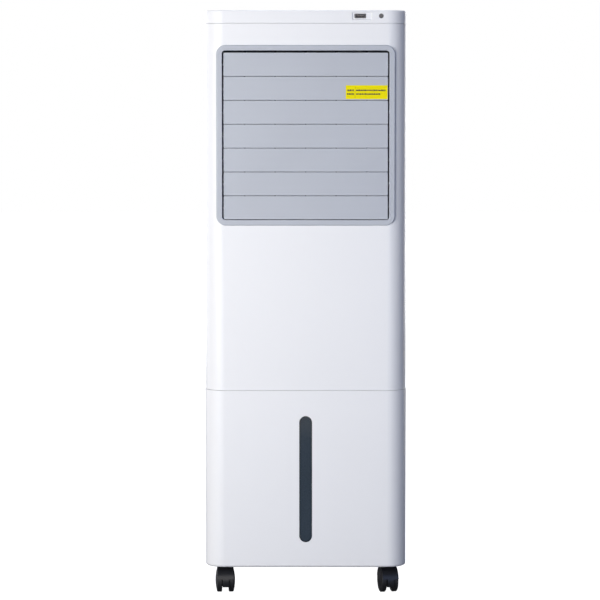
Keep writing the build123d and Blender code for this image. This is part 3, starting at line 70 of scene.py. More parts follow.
# ------------------------------------------------------------------ shader bench and shared effects
class Bench:
    """Places nodes in one node tree and wires them together."""

    def __init__(self, tree: bpy.types.NodeTree) -> None:
        """Starts on a tree.

        Args:
            tree: the material's or the group's node tree.
        """
        self.tree = tree

    def add(self, kind: str, values: dict | None = None, **options: object) -> bpy.types.Node:
        """Adds a node.

        Args:
            kind: the node's type name without its ShaderNode prefix.
            values: input values or output sockets to wire in, by input name or index.
            options: the node's own settings.

        Returns:
            The new node.
        """
        node = self.tree.nodes.new("ShaderNode" + kind)
        for name, value in options.items():
            setattr(node, name, value)
        for key, value in (values or {}).items():
            self.feed(node, key, value)
        return node

    def feed(self, node: bpy.types.Node, key: str | int, value: object) -> None:
        """Sets an input, or wires a socket into it.

        Args:
            node: the node that takes the value.
            key: the input's name or index.
            value: a number, a colour or an output socket.
        """
        socket = node.inputs[key]
        if isinstance(value, bpy.types.NodeSocket):
            self.tree.links.new(value, socket)
        elif isinstance(value, tuple) and len(value) == 3 and socket.type == "RGBA":
            socket.default_value = (*value, 1.0)
        else:
            socket.default_value = value

    def blend(self, share: object, first: object, second: object) -> bpy.types.NodeSocket:
        """Mixes two colours.

        Args:
            share: how much of the second colour shows, a number or a socket.
            first: the colour at 0.
            second: the colour at 1.

        Returns:
            The mixed colour's socket.
        """
        node = self.add("Mix", data_type="RGBA")
        self.feed(node, 0, share)
        self.feed(node, 6, first)
        self.feed(node, 7, second)
        return node.outputs[2]

    def sum(self, how: str, first: object, second: object, clamp: bool = False) -> bpy.types.NodeSocket:
        """Combines two numbers.

        Args:
            how: the operation's name, such as ADD or MULTIPLY.
            first: the first number or socket.
            second: the second number or socket.
            clamp: keep the result from 0 to 1.

        Returns:
            The result's socket.
        """
        return self.add("Math", {0: first, 1: second}, operation=how, use_clamp=clamp).outputs[0]

    def remap(self, value: object, low: float, high: float, out_low: float,
              out_high: float) -> bpy.types.NodeSocket:
        """Maps a range onto another and holds it at the ends.

        Args:
            value: the number or socket to map.
            low: the start of its range.
            high: the end of its range.
            out_low: what low becomes.
            out_high: what high becomes.

        Returns:
            The mapped socket.
        """
        node = self.add("MapRange", {0: value, 1: low, 2: high, 3: out_low, 4: out_high})
        return node.outputs[0]


class Effect(Enum):
    """Shared surface effects, each one node group."""

    GRAIN = "moulded_grain"
    DRIFT = "colour_drift"
    WEAR = "rubbed_edges"
    DUST = "settled_dust"
    BRUSH = "brushed_lines"
    FIBRE = "pressed_fibre"


class EffectShelf:
    """Builds each effect's node group once and places it in materials."""

    def __init__(self) -> None:
        """Starts with no group built."""
        self.groups: dict[Effect, bpy.types.NodeTree] = {}

    def place(self, bench: Bench, effect: Effect, values: dict) -> bpy.types.Node:
        """Places an effect in a material.

        Args:
            bench: the material's bench.
            effect: which effect.
            values: its inputs, by name.

        Returns:
            The group node, whose outputs hold the effect.
        """
        if effect not in self.groups:
            self.groups[effect] = self.build(effect)
        node = bench.tree.nodes.new("ShaderNodeGroup")
        node.node_tree = self.groups[effect]
        for key, value in values.items():
            bench.feed(node, key, value)
        return node

    def build(self, effect: Effect) -> bpy.types.NodeTree:
        """Makes an effect's group.

        Args:
            effect: which effect.

        Returns:
            The new node group.
        """
        makers = {
            Effect.GRAIN: self.grain, Effect.DRIFT: self.drift, Effect.WEAR: self.wear,
            Effect.DUST: self.dust, Effect.BRUSH: self.brush, Effect.FIBRE: self.fibre,
        }
        group = bpy.data.node_groups.new(effect.value, "ShaderNodeTree")
        makers[effect](group)
        return group

    @staticmethod
    def ends(group: bpy.types.NodeTree, inputs: dict[str, str], outputs: dict[str, str]) -> tuple:
        """Gives a group its named inputs and outputs.

        Args:
            group: the group.
            inputs: socket kinds by input name.
            outputs: socket kinds by output name.

        Returns:
            The group's input node, its output node and a bench on its tree.
        """
        for name, kind in inputs.items():
            group.interface.new_socket(name=name, in_out="INPUT", socket_type="NodeSocket" + kind)
        for name, kind in outputs.items():
            group.interface.new_socket(name=name, in_out="OUTPUT", socket_type="NodeSocket" + kind)
        start = group.nodes.new("NodeGroupInput")
        end = group.nodes.new("NodeGroupOutput")
        return start, end, Bench(group)

    def grain(self, group: bpy.types.NodeTree) -> None:
        """Fine spark-eroded grain of a moulded face, as a height and a gloss share."""
        start, end, bench = self.ends(
            group, {"Place": "Vector", "Scale": "Float"}, {"Height": "Float", "Gloss": "Float"}
        )
        place, scale = start.outputs["Place"], start.outputs["Scale"]
        pits = bench.add("TexVoronoi", {"Vector": place, "Scale": scale}, feature="SMOOTH_F1")
        haze = bench.add("TexNoise", {"Vector": place, "Scale": scale, "Detail": 3.0, "Roughness": 0.6})
        sweep = bench.add("TexNoise", {"Vector": place, "Scale": 26.0, "Detail": 2.0})
        height = bench.sum("MULTIPLY", pits.outputs["Distance"], haze.outputs["Fac"])
        bench.feed(end, "Height", height)
        gloss = bench.sum("MULTIPLY", sweep.outputs["Fac"], haze.outputs["Fac"])
        bench.feed(end, "Gloss", bench.remap(gloss, 0.1, 0.45, 0.0, 1.0))

    def drift(self, group: bpy.types.NodeTree) -> None:
        """Slow drift of colour over a moulding, as a share round one half."""
        start, end, bench = self.ends(group, {"Place": "Vector", "Scale": "Float"}, {"Share": "Float"})
        cloud = bench.add(
            "TexNoise", {"Vector": start.outputs["Place"], "Scale": start.outputs["Scale"], "Detail": 3.0}
        )
        bench.feed(end, "Share", bench.remap(cloud.outputs["Fac"], 0.3, 0.7, 0.0, 1.0))

    def wear(self, group: bpy.types.NodeTree) -> None:
        """Rubbed edges, as a mask that is 1 on a sharp edge."""
        start, end, bench = self.ends(
            group, {"Place": "Vector", "Width": "Float", "Amount": "Float"}, {"Mask": "Float"}
        )
        soft = bench.add("Bevel", {"Radius": start.outputs["Width"]}, samples=4)
        flat = bench.add("NewGeometry")
        match = bench.add(
            "VectorMath", {0: soft.outputs["Normal"], 1: flat.outputs["Normal"]}, operation="DOT_PRODUCT"
        )
        edge = bench.remap(match.outputs["Value"], 0.995, 0.86, 0.0, 1.0)
        patch = bench.add("TexNoise", {"Vector": start.outputs["Place"], "Scale": 160.0, "Detail": 4.0})
        broken = bench.sum("MULTIPLY", edge, bench.remap(patch.outputs["Fac"], 0.35, 0.65, 0.25, 1.0))
        bench.feed(end, "Mask", bench.sum("MULTIPLY", broken, start.outputs["Amount"], clamp=True))

    def dust(self, group: bpy.types.NodeTree) -> None:
        """Dust on what faces up, as a mask in the piece's own directions."""
        start, end, bench = self.ends(group, {"Place": "Vector", "Amount": "Float"}, {"Mask": "Float"})
        own = bench.add("TexCoord")
        up = bench.add("SeparateXYZ", {0: own.outputs["Normal"]})
        facing = bench.remap(up.outputs["Z"], 0.55, 0.98, 0.0, 1.0)
        fleck = bench.add("TexNoise", {"Vector": start.outputs["Place"], "Scale": 90.0, "Detail": 5.0})
        cover = bench.sum("MULTIPLY", facing, bench.remap(fleck.outputs["Fac"], 0.38, 0.7, 0.1, 1.0))
        bench.feed(end, "Mask", bench.sum("MULTIPLY", cover, start.outputs["Amount"], clamp=True))

    def brush(self, group: bpy.types.NodeTree) -> None:
        """Fine drawn lines along X, as a height and a gloss share."""
        start, end, bench = self.ends(group, {"Place": "Vector"}, {"Height": "Float", "Gloss": "Float"})
        drawn = bench.add("Mapping", {"Vector": start.outputs["Place"], "Scale": (40.0, 1800.0, 1800.0)})
        lines = bench.add("TexNoise", {"Vector": drawn.outputs[0], "Scale": 1.0, "Detail": 2.0})
        bench.feed(end, "Height", lines.outputs["Fac"])
        bench.feed(end, "Gloss", bench.remap(lines.outputs["Fac"], 0.35, 0.65, 0.0, 1.0))

    def fibre(self, group: bpy.types.NodeTree) -> None:
        """Pressed cellulose fibre, as a colour share, a height and a scale stain near the wet edges."""
        start, end, bench = self.ends(
            group, {"Place": "Vector"}, {"Share": "Float", "Height": "Float", "Stain": "Float"}
        )
        place = start.outputs["Place"]
        long_way = bench.add("Mapping", {"Vector": place, "Scale": (900.0, 900.0, 160.0)})
        strands = bench.add(
            "TexNoise", {"Vector": long_way.outputs[0], "Scale": 1.0, "Detail": 6.0, "Distortion": 1.2}
        )
        cloud = bench.add("TexNoise", {"Vector": place, "Scale": 18.0, "Detail": 4.0})
        fleck = bench.add("TexNoise", {"Vector": place, "Scale": 420.0, "Detail": 2.0})
        lifted = bench.sum("ADD", cloud.outputs["Fac"], 0.4)
        bench.feed(end, "Share", bench.sum("MULTIPLY", strands.outputs["Fac"], lifted))
        bench.feed(end, "Height", strands.outputs["Fac"])
        crust = bench.sum("MULTIPLY", bench.remap(cloud.outputs["Fac"], 0.52, 0.68, 0.0, 1.0),
                          bench.remap(fleck.outputs["Fac"], 0.45, 0.6, 0.0, 1.0))
        bench.feed(end, "Stain", crust)


EFFECTS = EffectShelf()


def blank_material(name: str) -> tuple[bpy.types.Material, Bench, bpy.types.Node]:
    """Starts a material.

    Args:
        name: the finish's name.

    Returns:
        The material, its bench and its Principled shader.
    """
    material = bpy.data.materials.new(name)
    material.use_nodes = True
    bench = Bench(material.node_tree)
    shader = next(n for n in material.node_tree.nodes if n.type == "BSDF_PRINCIPLED")
    return material, bench, shader


# ------------------------------------------------------------------ finishes
@dataclass(frozen=True)
class MouldedPlastic:
    """Injection-moulded plastic with its grain, slow colour drift, rubbed edges and a little dust."""

    name: str
    colour: Colour
    roughness: float
    grain_scale: float = 1400.0
    grain_depth: float = 0.012
    drift: float = 0.02
    drift_scale: float = 7.0
    worn: Colour = (0.9, 0.9, 0.9)
    wear: float = 0.15
    wear_width: float = 0.0008
    dust: float = 0.05
    dust_colour: Colour = (0.62, 0.6, 0.57)
    coat: float = 0.0
    gloss_spread: float = 0.12

    def make(self) -> bpy.types.Material:
        """Builds the material and returns it."""
        material, bench, shader = blank_material(self.name)
        place = bench.add("TexCoord").outputs["Object"]
        drift = EFFECTS.place(bench, Effect.DRIFT, {"Place": place, "Scale": self.drift_scale})
        wear = EFFECTS.place(
            bench, Effect.WEAR, {"Place": place, "Width": self.wear_width, "Amount": self.wear}
        )
        dust = EFFECTS.place(bench, Effect.DUST, {"Place": place, "Amount": self.dust})
        grain = EFFECTS.place(bench, Effect.GRAIN, {"Place": place, "Scale": self.grain_scale})
        low = tuple(c * (1 - self.drift) for c in self.colour)
        high = tuple(min(1.0, c * (1 + self.drift)) for c in self.colour)
        base = bench.blend(drift.outputs["Share"], low, high)
        base = bench.blend(wear.outputs["Mask"], base, self.worn)
        base = bench.blend(dust.outputs["Mask"], base, self.dust_colour)
        bench.feed(shader, "Base Color", base)
        rough = bench.remap(grain.outputs["Gloss"], 0.0, 1.0, self.roughness * (1 - self.gloss_spread),
                            self.roughness * (1 + self.gloss_spread))
        rough = bench.sum("ADD", rough, bench.sum("MULTIPLY", dust.outputs["Mask"], 0.5), clamp=True)
        bench.feed(shader, "Roughness", rough)
        bump = bench.add(
            "Bump", {"Strength": 1.0, "Distance": self.grain_depth * MM, "Height": grain.outputs["Height"]}
        )
        bench.feed(shader, "Normal", bump.outputs["Normal"])
        shader.inputs["Coat Weight"].default_value = self.coat
        shader.inputs["Coat Roughness"].default_value = 0.08
        return material


@dataclass(frozen=True)
class DrawnMetal:
    """Plated or drawn metal with fine lines, soft dulling and bright edges."""

    name: str
    colour: Colour
    roughness: float
    dulled: Colour = (0.3, 0.3, 0.3)
    wear: float = 0.4

    def make(self) -> bpy.types.Material:
        """Builds the material and returns it."""
        material, bench, shader = blank_material(self.name)
        place = bench.add("TexCoord").outputs["Object"]
        lines = EFFECTS.place(bench, Effect.BRUSH, {"Place": place})
        drift = EFFECTS.place(bench, Effect.DRIFT, {"Place": place, "Scale": 60.0})
        wear = EFFECTS.place(bench, Effect.WEAR, {"Place": place, "Width": 0.0005, "Amount": self.wear})
        dull = bench.sum("MULTIPLY", drift.outputs["Share"], 0.25)
        base = bench.blend(dull, self.colour, self.dulled)
        bench.feed(shader, "Base Color", bench.blend(wear.outputs["Mask"], base, (0.85, 0.85, 0.85)))
        bench.feed(shader, "Roughness", bench.remap(
            lines.outputs["Gloss"], 0.0, 1.0, self.roughness * 0.75, self.roughness * 1.25))
        bump = bench.add("Bump", {"Distance": 0.01 * MM, "Height": lines.outputs["Height"]})
        bench.feed(shader, "Normal", bump.outputs["Normal"])
        shader.inputs["Metallic"].default_value = 1.0
        return material


@dataclass(frozen=True)
class SmokedLens:
    """Tinted clear plastic, polished, with a faint haze in its gloss."""

    name: str
    colour: Colour
    roughness: float = 0.06
    cover: float = 0.8
    shine: float = 0.22

    def make(self) -> bpy.types.Material:
        """Builds the material and returns it."""
        material, bench, shader = blank_material(self.name)
        place = bench.add("TexCoord").outputs["Object"]
        drift = EFFECTS.place(bench, Effect.DRIFT, {"Place": place, "Scale": 22.0})
        darker = tuple(c * 0.86 for c in self.colour)
        bench.feed(shader, "Base Color", bench.blend(drift.outputs["Share"], darker, self.colour))
        bench.feed(shader, "Roughness", bench.remap(
            drift.outputs["Share"], 0.0, 1.0, self.roughness * 0.7, self.roughness * 1.4))
        shader.inputs["Alpha"].default_value = self.cover
        shader.inputs["Specular IOR Level"].default_value = self.shine
        shader.inputs["IOR"].default_value = 1.49
        return material


@dataclass(frozen=True)
class PressedFibre:
    """Cellulose sheet of an evaporative pad: strands, stiff edges and pale scale where water dried."""

    name: str
    colour: Colour
    dark: Colour
    scale_colour: Colour = (0.62, 0.58, 0.5)

    def make(self) -> bpy.types.Material:
        """Builds the material and returns it."""
        material, bench, shader = blank_material(self.name)
        place = bench.add("TexCoord").outputs["Object"]
        fibre = EFFECTS.place(bench, Effect.FIBRE, {"Place": place})
        base = bench.blend(fibre.outputs["Share"], self.dark, self.colour)
        stain = bench.sum("MULTIPLY", fibre.outputs["Stain"], 0.35)
        bench.feed(shader, "Base Color", bench.blend(stain, base, self.scale_colour))
        bench.feed(shader, "Roughness", bench.remap(fibre.outputs["Share"], 0.0, 1.0, 0.75, 0.95))
        bump = bench.add("Bump", {"Distance": 0.15 * MM, "Height": fibre.outputs["Height"]})
        bench.feed(shader, "Normal", bump.outputs["Normal"])
        shader.inputs["Specular IOR Level"].default_value = 0.2
        return material


@dataclass(frozen=True)
class PrintedFilm:
    """Printed label film or pad-printed ink, with slightly uneven ink."""

    name: str
    colour: Colour
    roughness: float = 0.35
    uneven: float = 0.04
    shine: float = 0.5

    def make(self) -> bpy.types.Material:
        """Builds the material and returns it."""
        material, bench, shader = blank_material(self.name)
        place = bench.add("TexCoord").outputs["Object"]
        drift = EFFECTS.place(bench, Effect.DRIFT, {"Place": place, "Scale": 240.0})
        thin = tuple(c * (1 - self.uneven) for c in self.colour)
        bench.feed(shader, "Base Color", bench.blend(drift.outputs["Share"], thin, self.colour))
        bench.feed(shader, "Roughness", bench.remap(
            drift.outputs["Share"], 0.0, 1.0, self.roughness * 0.9, self.roughness * 1.1))
        shader.inputs["Specular IOR Level"].default_value = self.shine
        return material


@dataclass(frozen=True)
class CircuitBoard:
    """Solder mask over a copper pattern."""

    name: str
    colour: Colour
    trace: Colour

    def make(self) -> bpy.types.Material:
        """Builds the material and returns it."""
        material, bench, shader = blank_material(self.name)
        place = bench.add("TexCoord").outputs["Object"]
        tracks = bench.add("TexBrick", {
            "Vector": place, "Color1": (0.0, 0.0, 0.0), "Color2": (0.0, 0.0, 0.0), "Mortar": (1.0, 1.0, 1.0),
            "Scale": 160.0, "Mortar Size": 0.03,
        })
        drift = EFFECTS.place(bench, Effect.DRIFT, {"Place": place, "Scale": 50.0})
        share = bench.sum("MULTIPLY", tracks.outputs["Color"], drift.outputs["Share"])
        bench.feed(shader, "Base Color", bench.blend(share, self.colour, self.trace))
        bench.feed(shader, "Roughness", bench.remap(share, 0.0, 1.0, 0.3, 0.22))
        return material


class Finish(Enum):
    """The cooler's finishes."""

    SHELL_WHITE = MouldedPlastic(
        "shell_white", (0.83, 0.845, 0.87), 0.33, grain_scale=2200.0, grain_depth=0.004, drift=0.004,
        worn=(0.88, 0.89, 0.9), wear=0.25, dust=0.02, gloss_spread=0.03)
    OUTLET_GREY = MouldedPlastic(
        "outlet_grey", (0.454, 0.486, 0.544), 0.36, grain_scale=1800.0, grain_depth=0.01, drift=0.02,
        worn=(0.66, 0.69, 0.75), wear=0.5, wear_width=0.0006, dust=0.06)
    BUTTON_GREY = MouldedPlastic(
        "button_grey", (0.42, 0.45, 0.5), 0.3, grain_scale=2000.0, drift=0.02, worn=(0.6, 0.62, 0.66),
        wear=0.4)
    GRILLE_GREY = MouldedPlastic(
        "grille_grey", (0.46, 0.49, 0.56), 0.42, grain_scale=1500.0, grain_depth=0.014, drift=0.025,
        worn=(0.6, 0.63, 0.68), wear=0.5, dust=0.22)
    PANEL_BLACK = MouldedPlastic(
        "panel_black", (0.012, 0.013, 0.016), 0.09, grain_scale=2600.0, grain_depth=0.001, drift=0.05,
        worn=(0.05, 0.05, 0.055), wear=0.3, dust=0.02, coat=0.6)
    DISPLAY_BLACK = MouldedPlastic(
        "display_black", (0.02, 0.024, 0.03), 0.05, grain_scale=2600.0, grain_depth=0.0005, drift=0.05,
        worn=(0.05, 0.05, 0.06), wear=0.2, dust=0.02, coat=1.0)
    RECEIVER_DARK = MouldedPlastic(
        "receiver_dark", (0.055, 0.06, 0.08), 0.12, grain_scale=2600.0, grain_depth=0.001, drift=0.1,
        worn=(0.12, 0.12, 0.14), wear=0.2, dust=0.0, coat=0.8)
    CASTER_BLACK = MouldedPlastic(
        "caster_black", (0.009, 0.01, 0.013), 0.36, grain_scale=900.0, grain_depth=0.03, drift=0.2,
        worn=(0.06, 0.06, 0.07), wear=0.4, dust=0.03, dust_colour=(0.3, 0.29, 0.27))
    TREAD_BLACK = MouldedPlastic(
        "tread_black", (0.009, 0.009, 0.011), 0.5, grain_scale=700.0, grain_depth=0.06, drift=0.25,
        worn=(0.07, 0.07, 0.07), wear=0.5, dust=0.04, dust_colour=(0.3, 0.29, 0.27))
    VANE_BLACK = MouldedPlastic(
        "vane_black", (0.02, 0.02, 0.023), 0.42, grain_scale=900.0, grain_depth=0.02, drift=0.15,
        worn=(0.12, 0.12, 0.13), wear=0.4, dust=0.3)
    BLOWER_DARK = MouldedPlastic(
        "blower_dark", (0.03, 0.031, 0.034), 0.5, grain_scale=700.0, grain_depth=0.03, drift=0.2,
        worn=(0.12, 0.12, 0.13), wear=0.3, dust=0.4)
    INNER_WHITE = MouldedPlastic(
        "inner_white", (0.66, 0.67, 0.685), 0.52, grain_scale=900.0, grain_depth=0.02, drift=0.04,
        worn=(0.78, 0.78, 0.78), wear=0.3, dust=0.25)
    FLOAT_DARK = MouldedPlastic(
        "float_dark", (0.012, 0.014, 0.018), 0.4, grain_scale=900.0, drift=0.1, worn=(0.06, 0.06, 0.07),
        wear=0.3)
    PUMP_BLACK = MouldedPlastic(
        "pump_black", (0.016, 0.017, 0.02), 0.3, grain_scale=900.0, drift=0.15, worn=(0.08, 0.08, 0.09),
        wear=0.4)
    PLUG_RUBBER = MouldedPlastic(
        "plug_rubber", (0.27, 0.285, 0.31), 0.62, grain_scale=600.0, grain_depth=0.04, drift=0.08,
        worn=(0.4, 0.41, 0.43), wear=0.3, dust=0.2)
    HOSE_SILICONE = MouldedPlastic(
        "hose_silicone", (0.6, 0.62, 0.63), 0.4, grain_scale=600.0, drift=0.05, wear=0.1, dust=0.1)
    MOTOR_CAN = DrawnMetal("motor_can", (0.42, 0.43, 0.45), 0.38)
    ZINC = DrawnMetal("zinc_plate", (0.66, 0.67, 0.7), 0.3)
    # Painted shade: the socket's plated metal gets a near-black colour so it reads as the shade inside its
    # opening.
    SOCKET_PAINTED_SHADE = DrawnMetal("socket_metal_painted_shade", (0.1, 0.1, 0.11), 0.4)
    CONTACT_GOLD = DrawnMetal("contact_gold", (0.83, 0.62, 0.3), 0.25, dulled=(0.5, 0.36, 0.2))
    LEVEL_LENS = SmokedLens("level_lens", (0.044, 0.062, 0.084))
    # Painted shade: near-black film for the rim round the level window, standing in for the shade on its
    # bevelled edge.
    LENS_SHADE_RIM = PrintedFilm("lens_shade_rim", (0.012, 0.018, 0.026), 0.12)
    PAD_BROWN = PressedFibre("pad_brown", (0.46, 0.33, 0.18), (0.17, 0.11, 0.055))
    FILTER_THREAD = MouldedPlastic(
        "filter_thread", (0.03, 0.032, 0.036), 0.5, grain_scale=900.0, drift=0.1, worn=(0.1, 0.1, 0.1),
        wear=0.2, dust=0.35)
    LABEL_YELLOW = PrintedFilm("label_yellow", (0.86, 0.76, 0.003), 0.6, shine=0.08)
    LABEL_INK = PrintedFilm("label_ink", (0.045, 0.04, 0.01), 0.5, uneven=0.4)
    PRINT_PALE = PrintedFilm("print_pale", (0.55, 0.57, 0.6), 0.4, uneven=0.1)
    SEGMENT_DIM = PrintedFilm("segment_dim", (0.07, 0.08, 0.09), 0.2, uneven=0.1)
    CARD_GREY = PrintedFilm("card_grey", (0.62, 0.68, 0.74), 0.5)
    BOARD = CircuitBoard("board_green", (0.02, 0.12, 0.05), (0.1, 0.3, 0.12))


class FinishRack:
    """Makes each finish once and puts it on pieces and CAD nodes."""

    def __init__(self) -> None:
        """Starts with no material made."""
        self.made: dict[Finish, bpy.types.Material] = {}

    def get(self, finish: Finish) -> bpy.types.Material:
        """Returns the finish's material, made once."""
        if finish not in self.made:
            self.made[finish] = finish.value.make()
        return self.made[finish]

    def dress(self, finish: Finish, nodes: Iterable[str]) -> None:
        """Puts a finish on CAD nodes.

        Args:
            finish: the finish.
            nodes: the nodes' names.
        """
        material = self.get(finish)
        for name in nodes:
            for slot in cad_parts[name].material_slots:
                slot.material = material
            log.info("%s: %s", name, material.name)


RACK = FinishRack()


# ------------------------------------------------------------------ mesh helpers
def finish_piece(name: str, mesh: bmesh.types.BMesh, finish: Finish, body: str,
                 smooth: bool = False) -> bpy.types.Object:
    """Turns a bmesh into a piece that rides on a body.

    Args:
        name: the piece's name.
        mesh: its mesh, in place, which this frees.
        finish: its finish.
        body: the CAD body that it rides on.
        smooth: shade it smooth.

    Returns:
        The new object.
    """
    bmesh.ops.recalc_face_normals(mesh, faces=mesh.faces)
    for face in mesh.faces:
        face.smooth = smooth
    data = bpy.data.meshes.new(name)
    mesh.to_mesh(data)
    mesh.free()
    piece = bpy.data.objects.new(name, data)
    bpy.context.scene.collection.objects.link(piece)
    data.materials.append(RACK.get(finish))
    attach(piece, body)
    log.info("%s: %d faces on %s", name, len(data.polygons), body)
    return piece


def add_bar(mesh: bmesh.types.BMesh, centre: Sequence[float], size: Sequence[float],
            turn: Matrix | None = None) -> list[bmesh.types.BMVert]:
    """Adds a box-shaped bar.

    Args:
        mesh: the mesh it joins.
        centre: its middle, in metres.
        size: its lengths along X, Y and Z, in metres.
        turn: a rotation about its own middle.

    Returns:
        Its vertices.
    """
    made = bmesh.ops.create_cube(mesh, size=1.0)["verts"]
    bmesh.ops.scale(mesh, vec=Vector(size), verts=made)
    if turn is not None:
        bmesh.ops.rotate(mesh, cent=(0, 0, 0), matrix=turn, verts=made)
    bmesh.ops.translate(mesh, vec=Vector(centre), verts=made)
    return made


def add_ring(mesh: bmesh.types.BMesh, centre: Sequence[float], radius: float, width: float, height: float,
             start: float = 0.0, sweep: float = 2 * math.pi, steps: int = 24) -> None:
    """Adds a flat ring or part of one, lying in X and Y.

    Args:
        mesh: the mesh it joins.
        centre: the ring's middle, at its underside.
        radius: its middle radius.
        width: its radial width.
        height: its thickness along Z.
        start: where it starts, from +X towards +Y.
        sweep: how far it goes round.
        steps: how many steps the sweep has.
    """
    turn = Matrix.Rotation(start, 4, "Z")
    corners = [
        mesh.verts.new(Vector(centre) + turn @ Vector((radius + dx, 0, dz)))
        for dx, dz in ((-width / 2, 0), (width / 2, 0), (width / 2, height), (-width / 2, height))
    ]
    edges = [mesh.edges.new((corners[i], corners[(i + 1) % 4])) for i in range(4)]
    whole = abs(sweep - 2 * math.pi) < 1e-6
    made = bmesh.ops.spin(mesh, geom=corners + edges, cent=centre, axis=(0, 0, 1), angle=sweep, steps=steps,
                          use_merge=whole)
    if not whole:
        mesh.faces.new(corners)
        mesh.faces.new([g for g in made["geom_last"] if isinstance(g, bmesh.types.BMVert)])


# ------------------------------------------------------------------ sub-assemblies
@dataclass
class Cabinet:
    """White shells, deck, tank, door and plug."""

    white: tuple[str, ...] = ("front_panel", "rear_housing", "top_cover", "tank", "filler_door")
    inner: tuple[str, ...] = ("base_deck", "water_distributor")

    def build(self) -> None:
        """Dresses the shells."""
        RACK.dress(Finish.SHELL_WHITE, self.white)
        RACK.dress(Finish.INNER_WHITE, self.inner)
        RACK.dress(Finish.PLUG_RUBBER, ("drain_plug",))
        RACK.dress(Finish.ZINC, ("housing_screws",))
        RACK.dress(Finish.CASTER_BLACK, ("power_inlet",))


@dataclass(frozen=True)
class PrintRow:
    """A row of bars on the label, from its left edge and its middle height."""

    start: float
    end: float
    rise: float
    share: float = 1.0


@dataclass
class OutletLouvres:
    """Grey outlet frame with its blades, link and drive, and the yellow label on the second blade."""

    count: int = 7
    label_width: float = 67.2 * MM
    label_height: float = 22.1 * MM
    label_thickness: float = 0.12 * MM
    label_corner: float = 0.6 * MM
    label_inset: float = 12.6 * MM
    label_lift: float = 1.7 * MM
    row_height: float = 2.5 * MM
    print_thickness: float = 0.03 * MM
    bar_lengths: tuple[float, float] = (1.0, 3.4)
    bar_gaps: tuple[float, float] = (0.35, 0.6)
    shortest_bar: float = 0.8 * MM
    divider_place: float = 15.0 * MM
    divider_width: float = 0.25 * MM
    rows: tuple[PrintRow, ...] = (
        PrintRow(2.6 * MM, 13.0 * MM, 2.9 * MM, 1.15),
        PrintRow(2.2 * MM, 13.4 * MM, -3.0 * MM, 1.1),
        PrintRow(16.6 * MM, 65.0 * MM, 2.9 * MM),
        PrintRow(16.6 * MM, 56.7 * MM, -3.1 * MM),
    )

    def build(self) -> None:
        """Dresses the frame and blades, and makes the label."""
        blades = [f"louvre_{i + 1}" for i in range(self.count)]
        RACK.dress(Finish.OUTLET_GREY, ["outlet_bezel", *blades])
        RACK.dress(Finish.INNER_WHITE, ("louvre_link", "louvre_crank"))
        RACK.dress(Finish.MOTOR_CAN, ("louvre_motor",))
        self.label()

    def label(self) -> None:
        """Makes the label film and its print, plain bars that spell nothing."""
        blade_low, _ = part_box("louvre_2")
        _, bezel_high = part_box("outlet_bezel")
        left = bezel_high.x - self.label_inset - self.label_width
        bottom = blade_low.z + self.label_lift
        middle = Vector((left + self.label_width / 2, blade_low.y, bottom + self.label_height / 2))
        film = bmesh.new()
        add_bar(film, middle - Vector((0, self.label_thickness / 2, 0)),
                (self.label_width, self.label_thickness, self.label_height))
        upright = [
            edge for edge in film.edges
            if abs((edge.verts[0].co - edge.verts[1].co).y) > self.label_thickness * 0.9
        ]
        bmesh.ops.bevel(film, geom=upright, offset=self.label_corner, offset_type="OFFSET", segments=4,
                        profile=0.5, affect="EDGES", material=-1)
        finish_piece("blade_label", film, Finish.LABEL_YELLOW, "louvre_2")
        self.label_print(left, middle)

    def label_print(self, left: float, middle: Vector) -> None:
        """Makes the label's rows of bars and the thin line between heading and text.

        Args:
            left: the label's left edge.
            middle: the label's middle, on the blade's face.
        """
        print_y = middle.y - self.label_thickness - self.print_thickness / 2
        ink = bmesh.new()
        draw = random.Random(5)
        for row in self.rows:
            x, end = left + row.start, left + row.end
            while x < end - self.shortest_bar:
                length = min(draw.uniform(*self.bar_lengths) * MM, end - x)
                height = self.row_height * row.share * draw.uniform(0.82, 1.0)
                add_bar(ink, (x + length / 2, print_y, middle.z + row.rise),
                        (length, self.print_thickness, height))
                x += length + draw.uniform(*self.bar_gaps) * MM
        add_bar(ink, (left + self.divider_place, print_y, middle.z),
                (self.divider_width, self.print_thickness, self.label_height * 0.84))
        finish_piece("label_print", ink, Finish.LABEL_INK, "louvre_2")


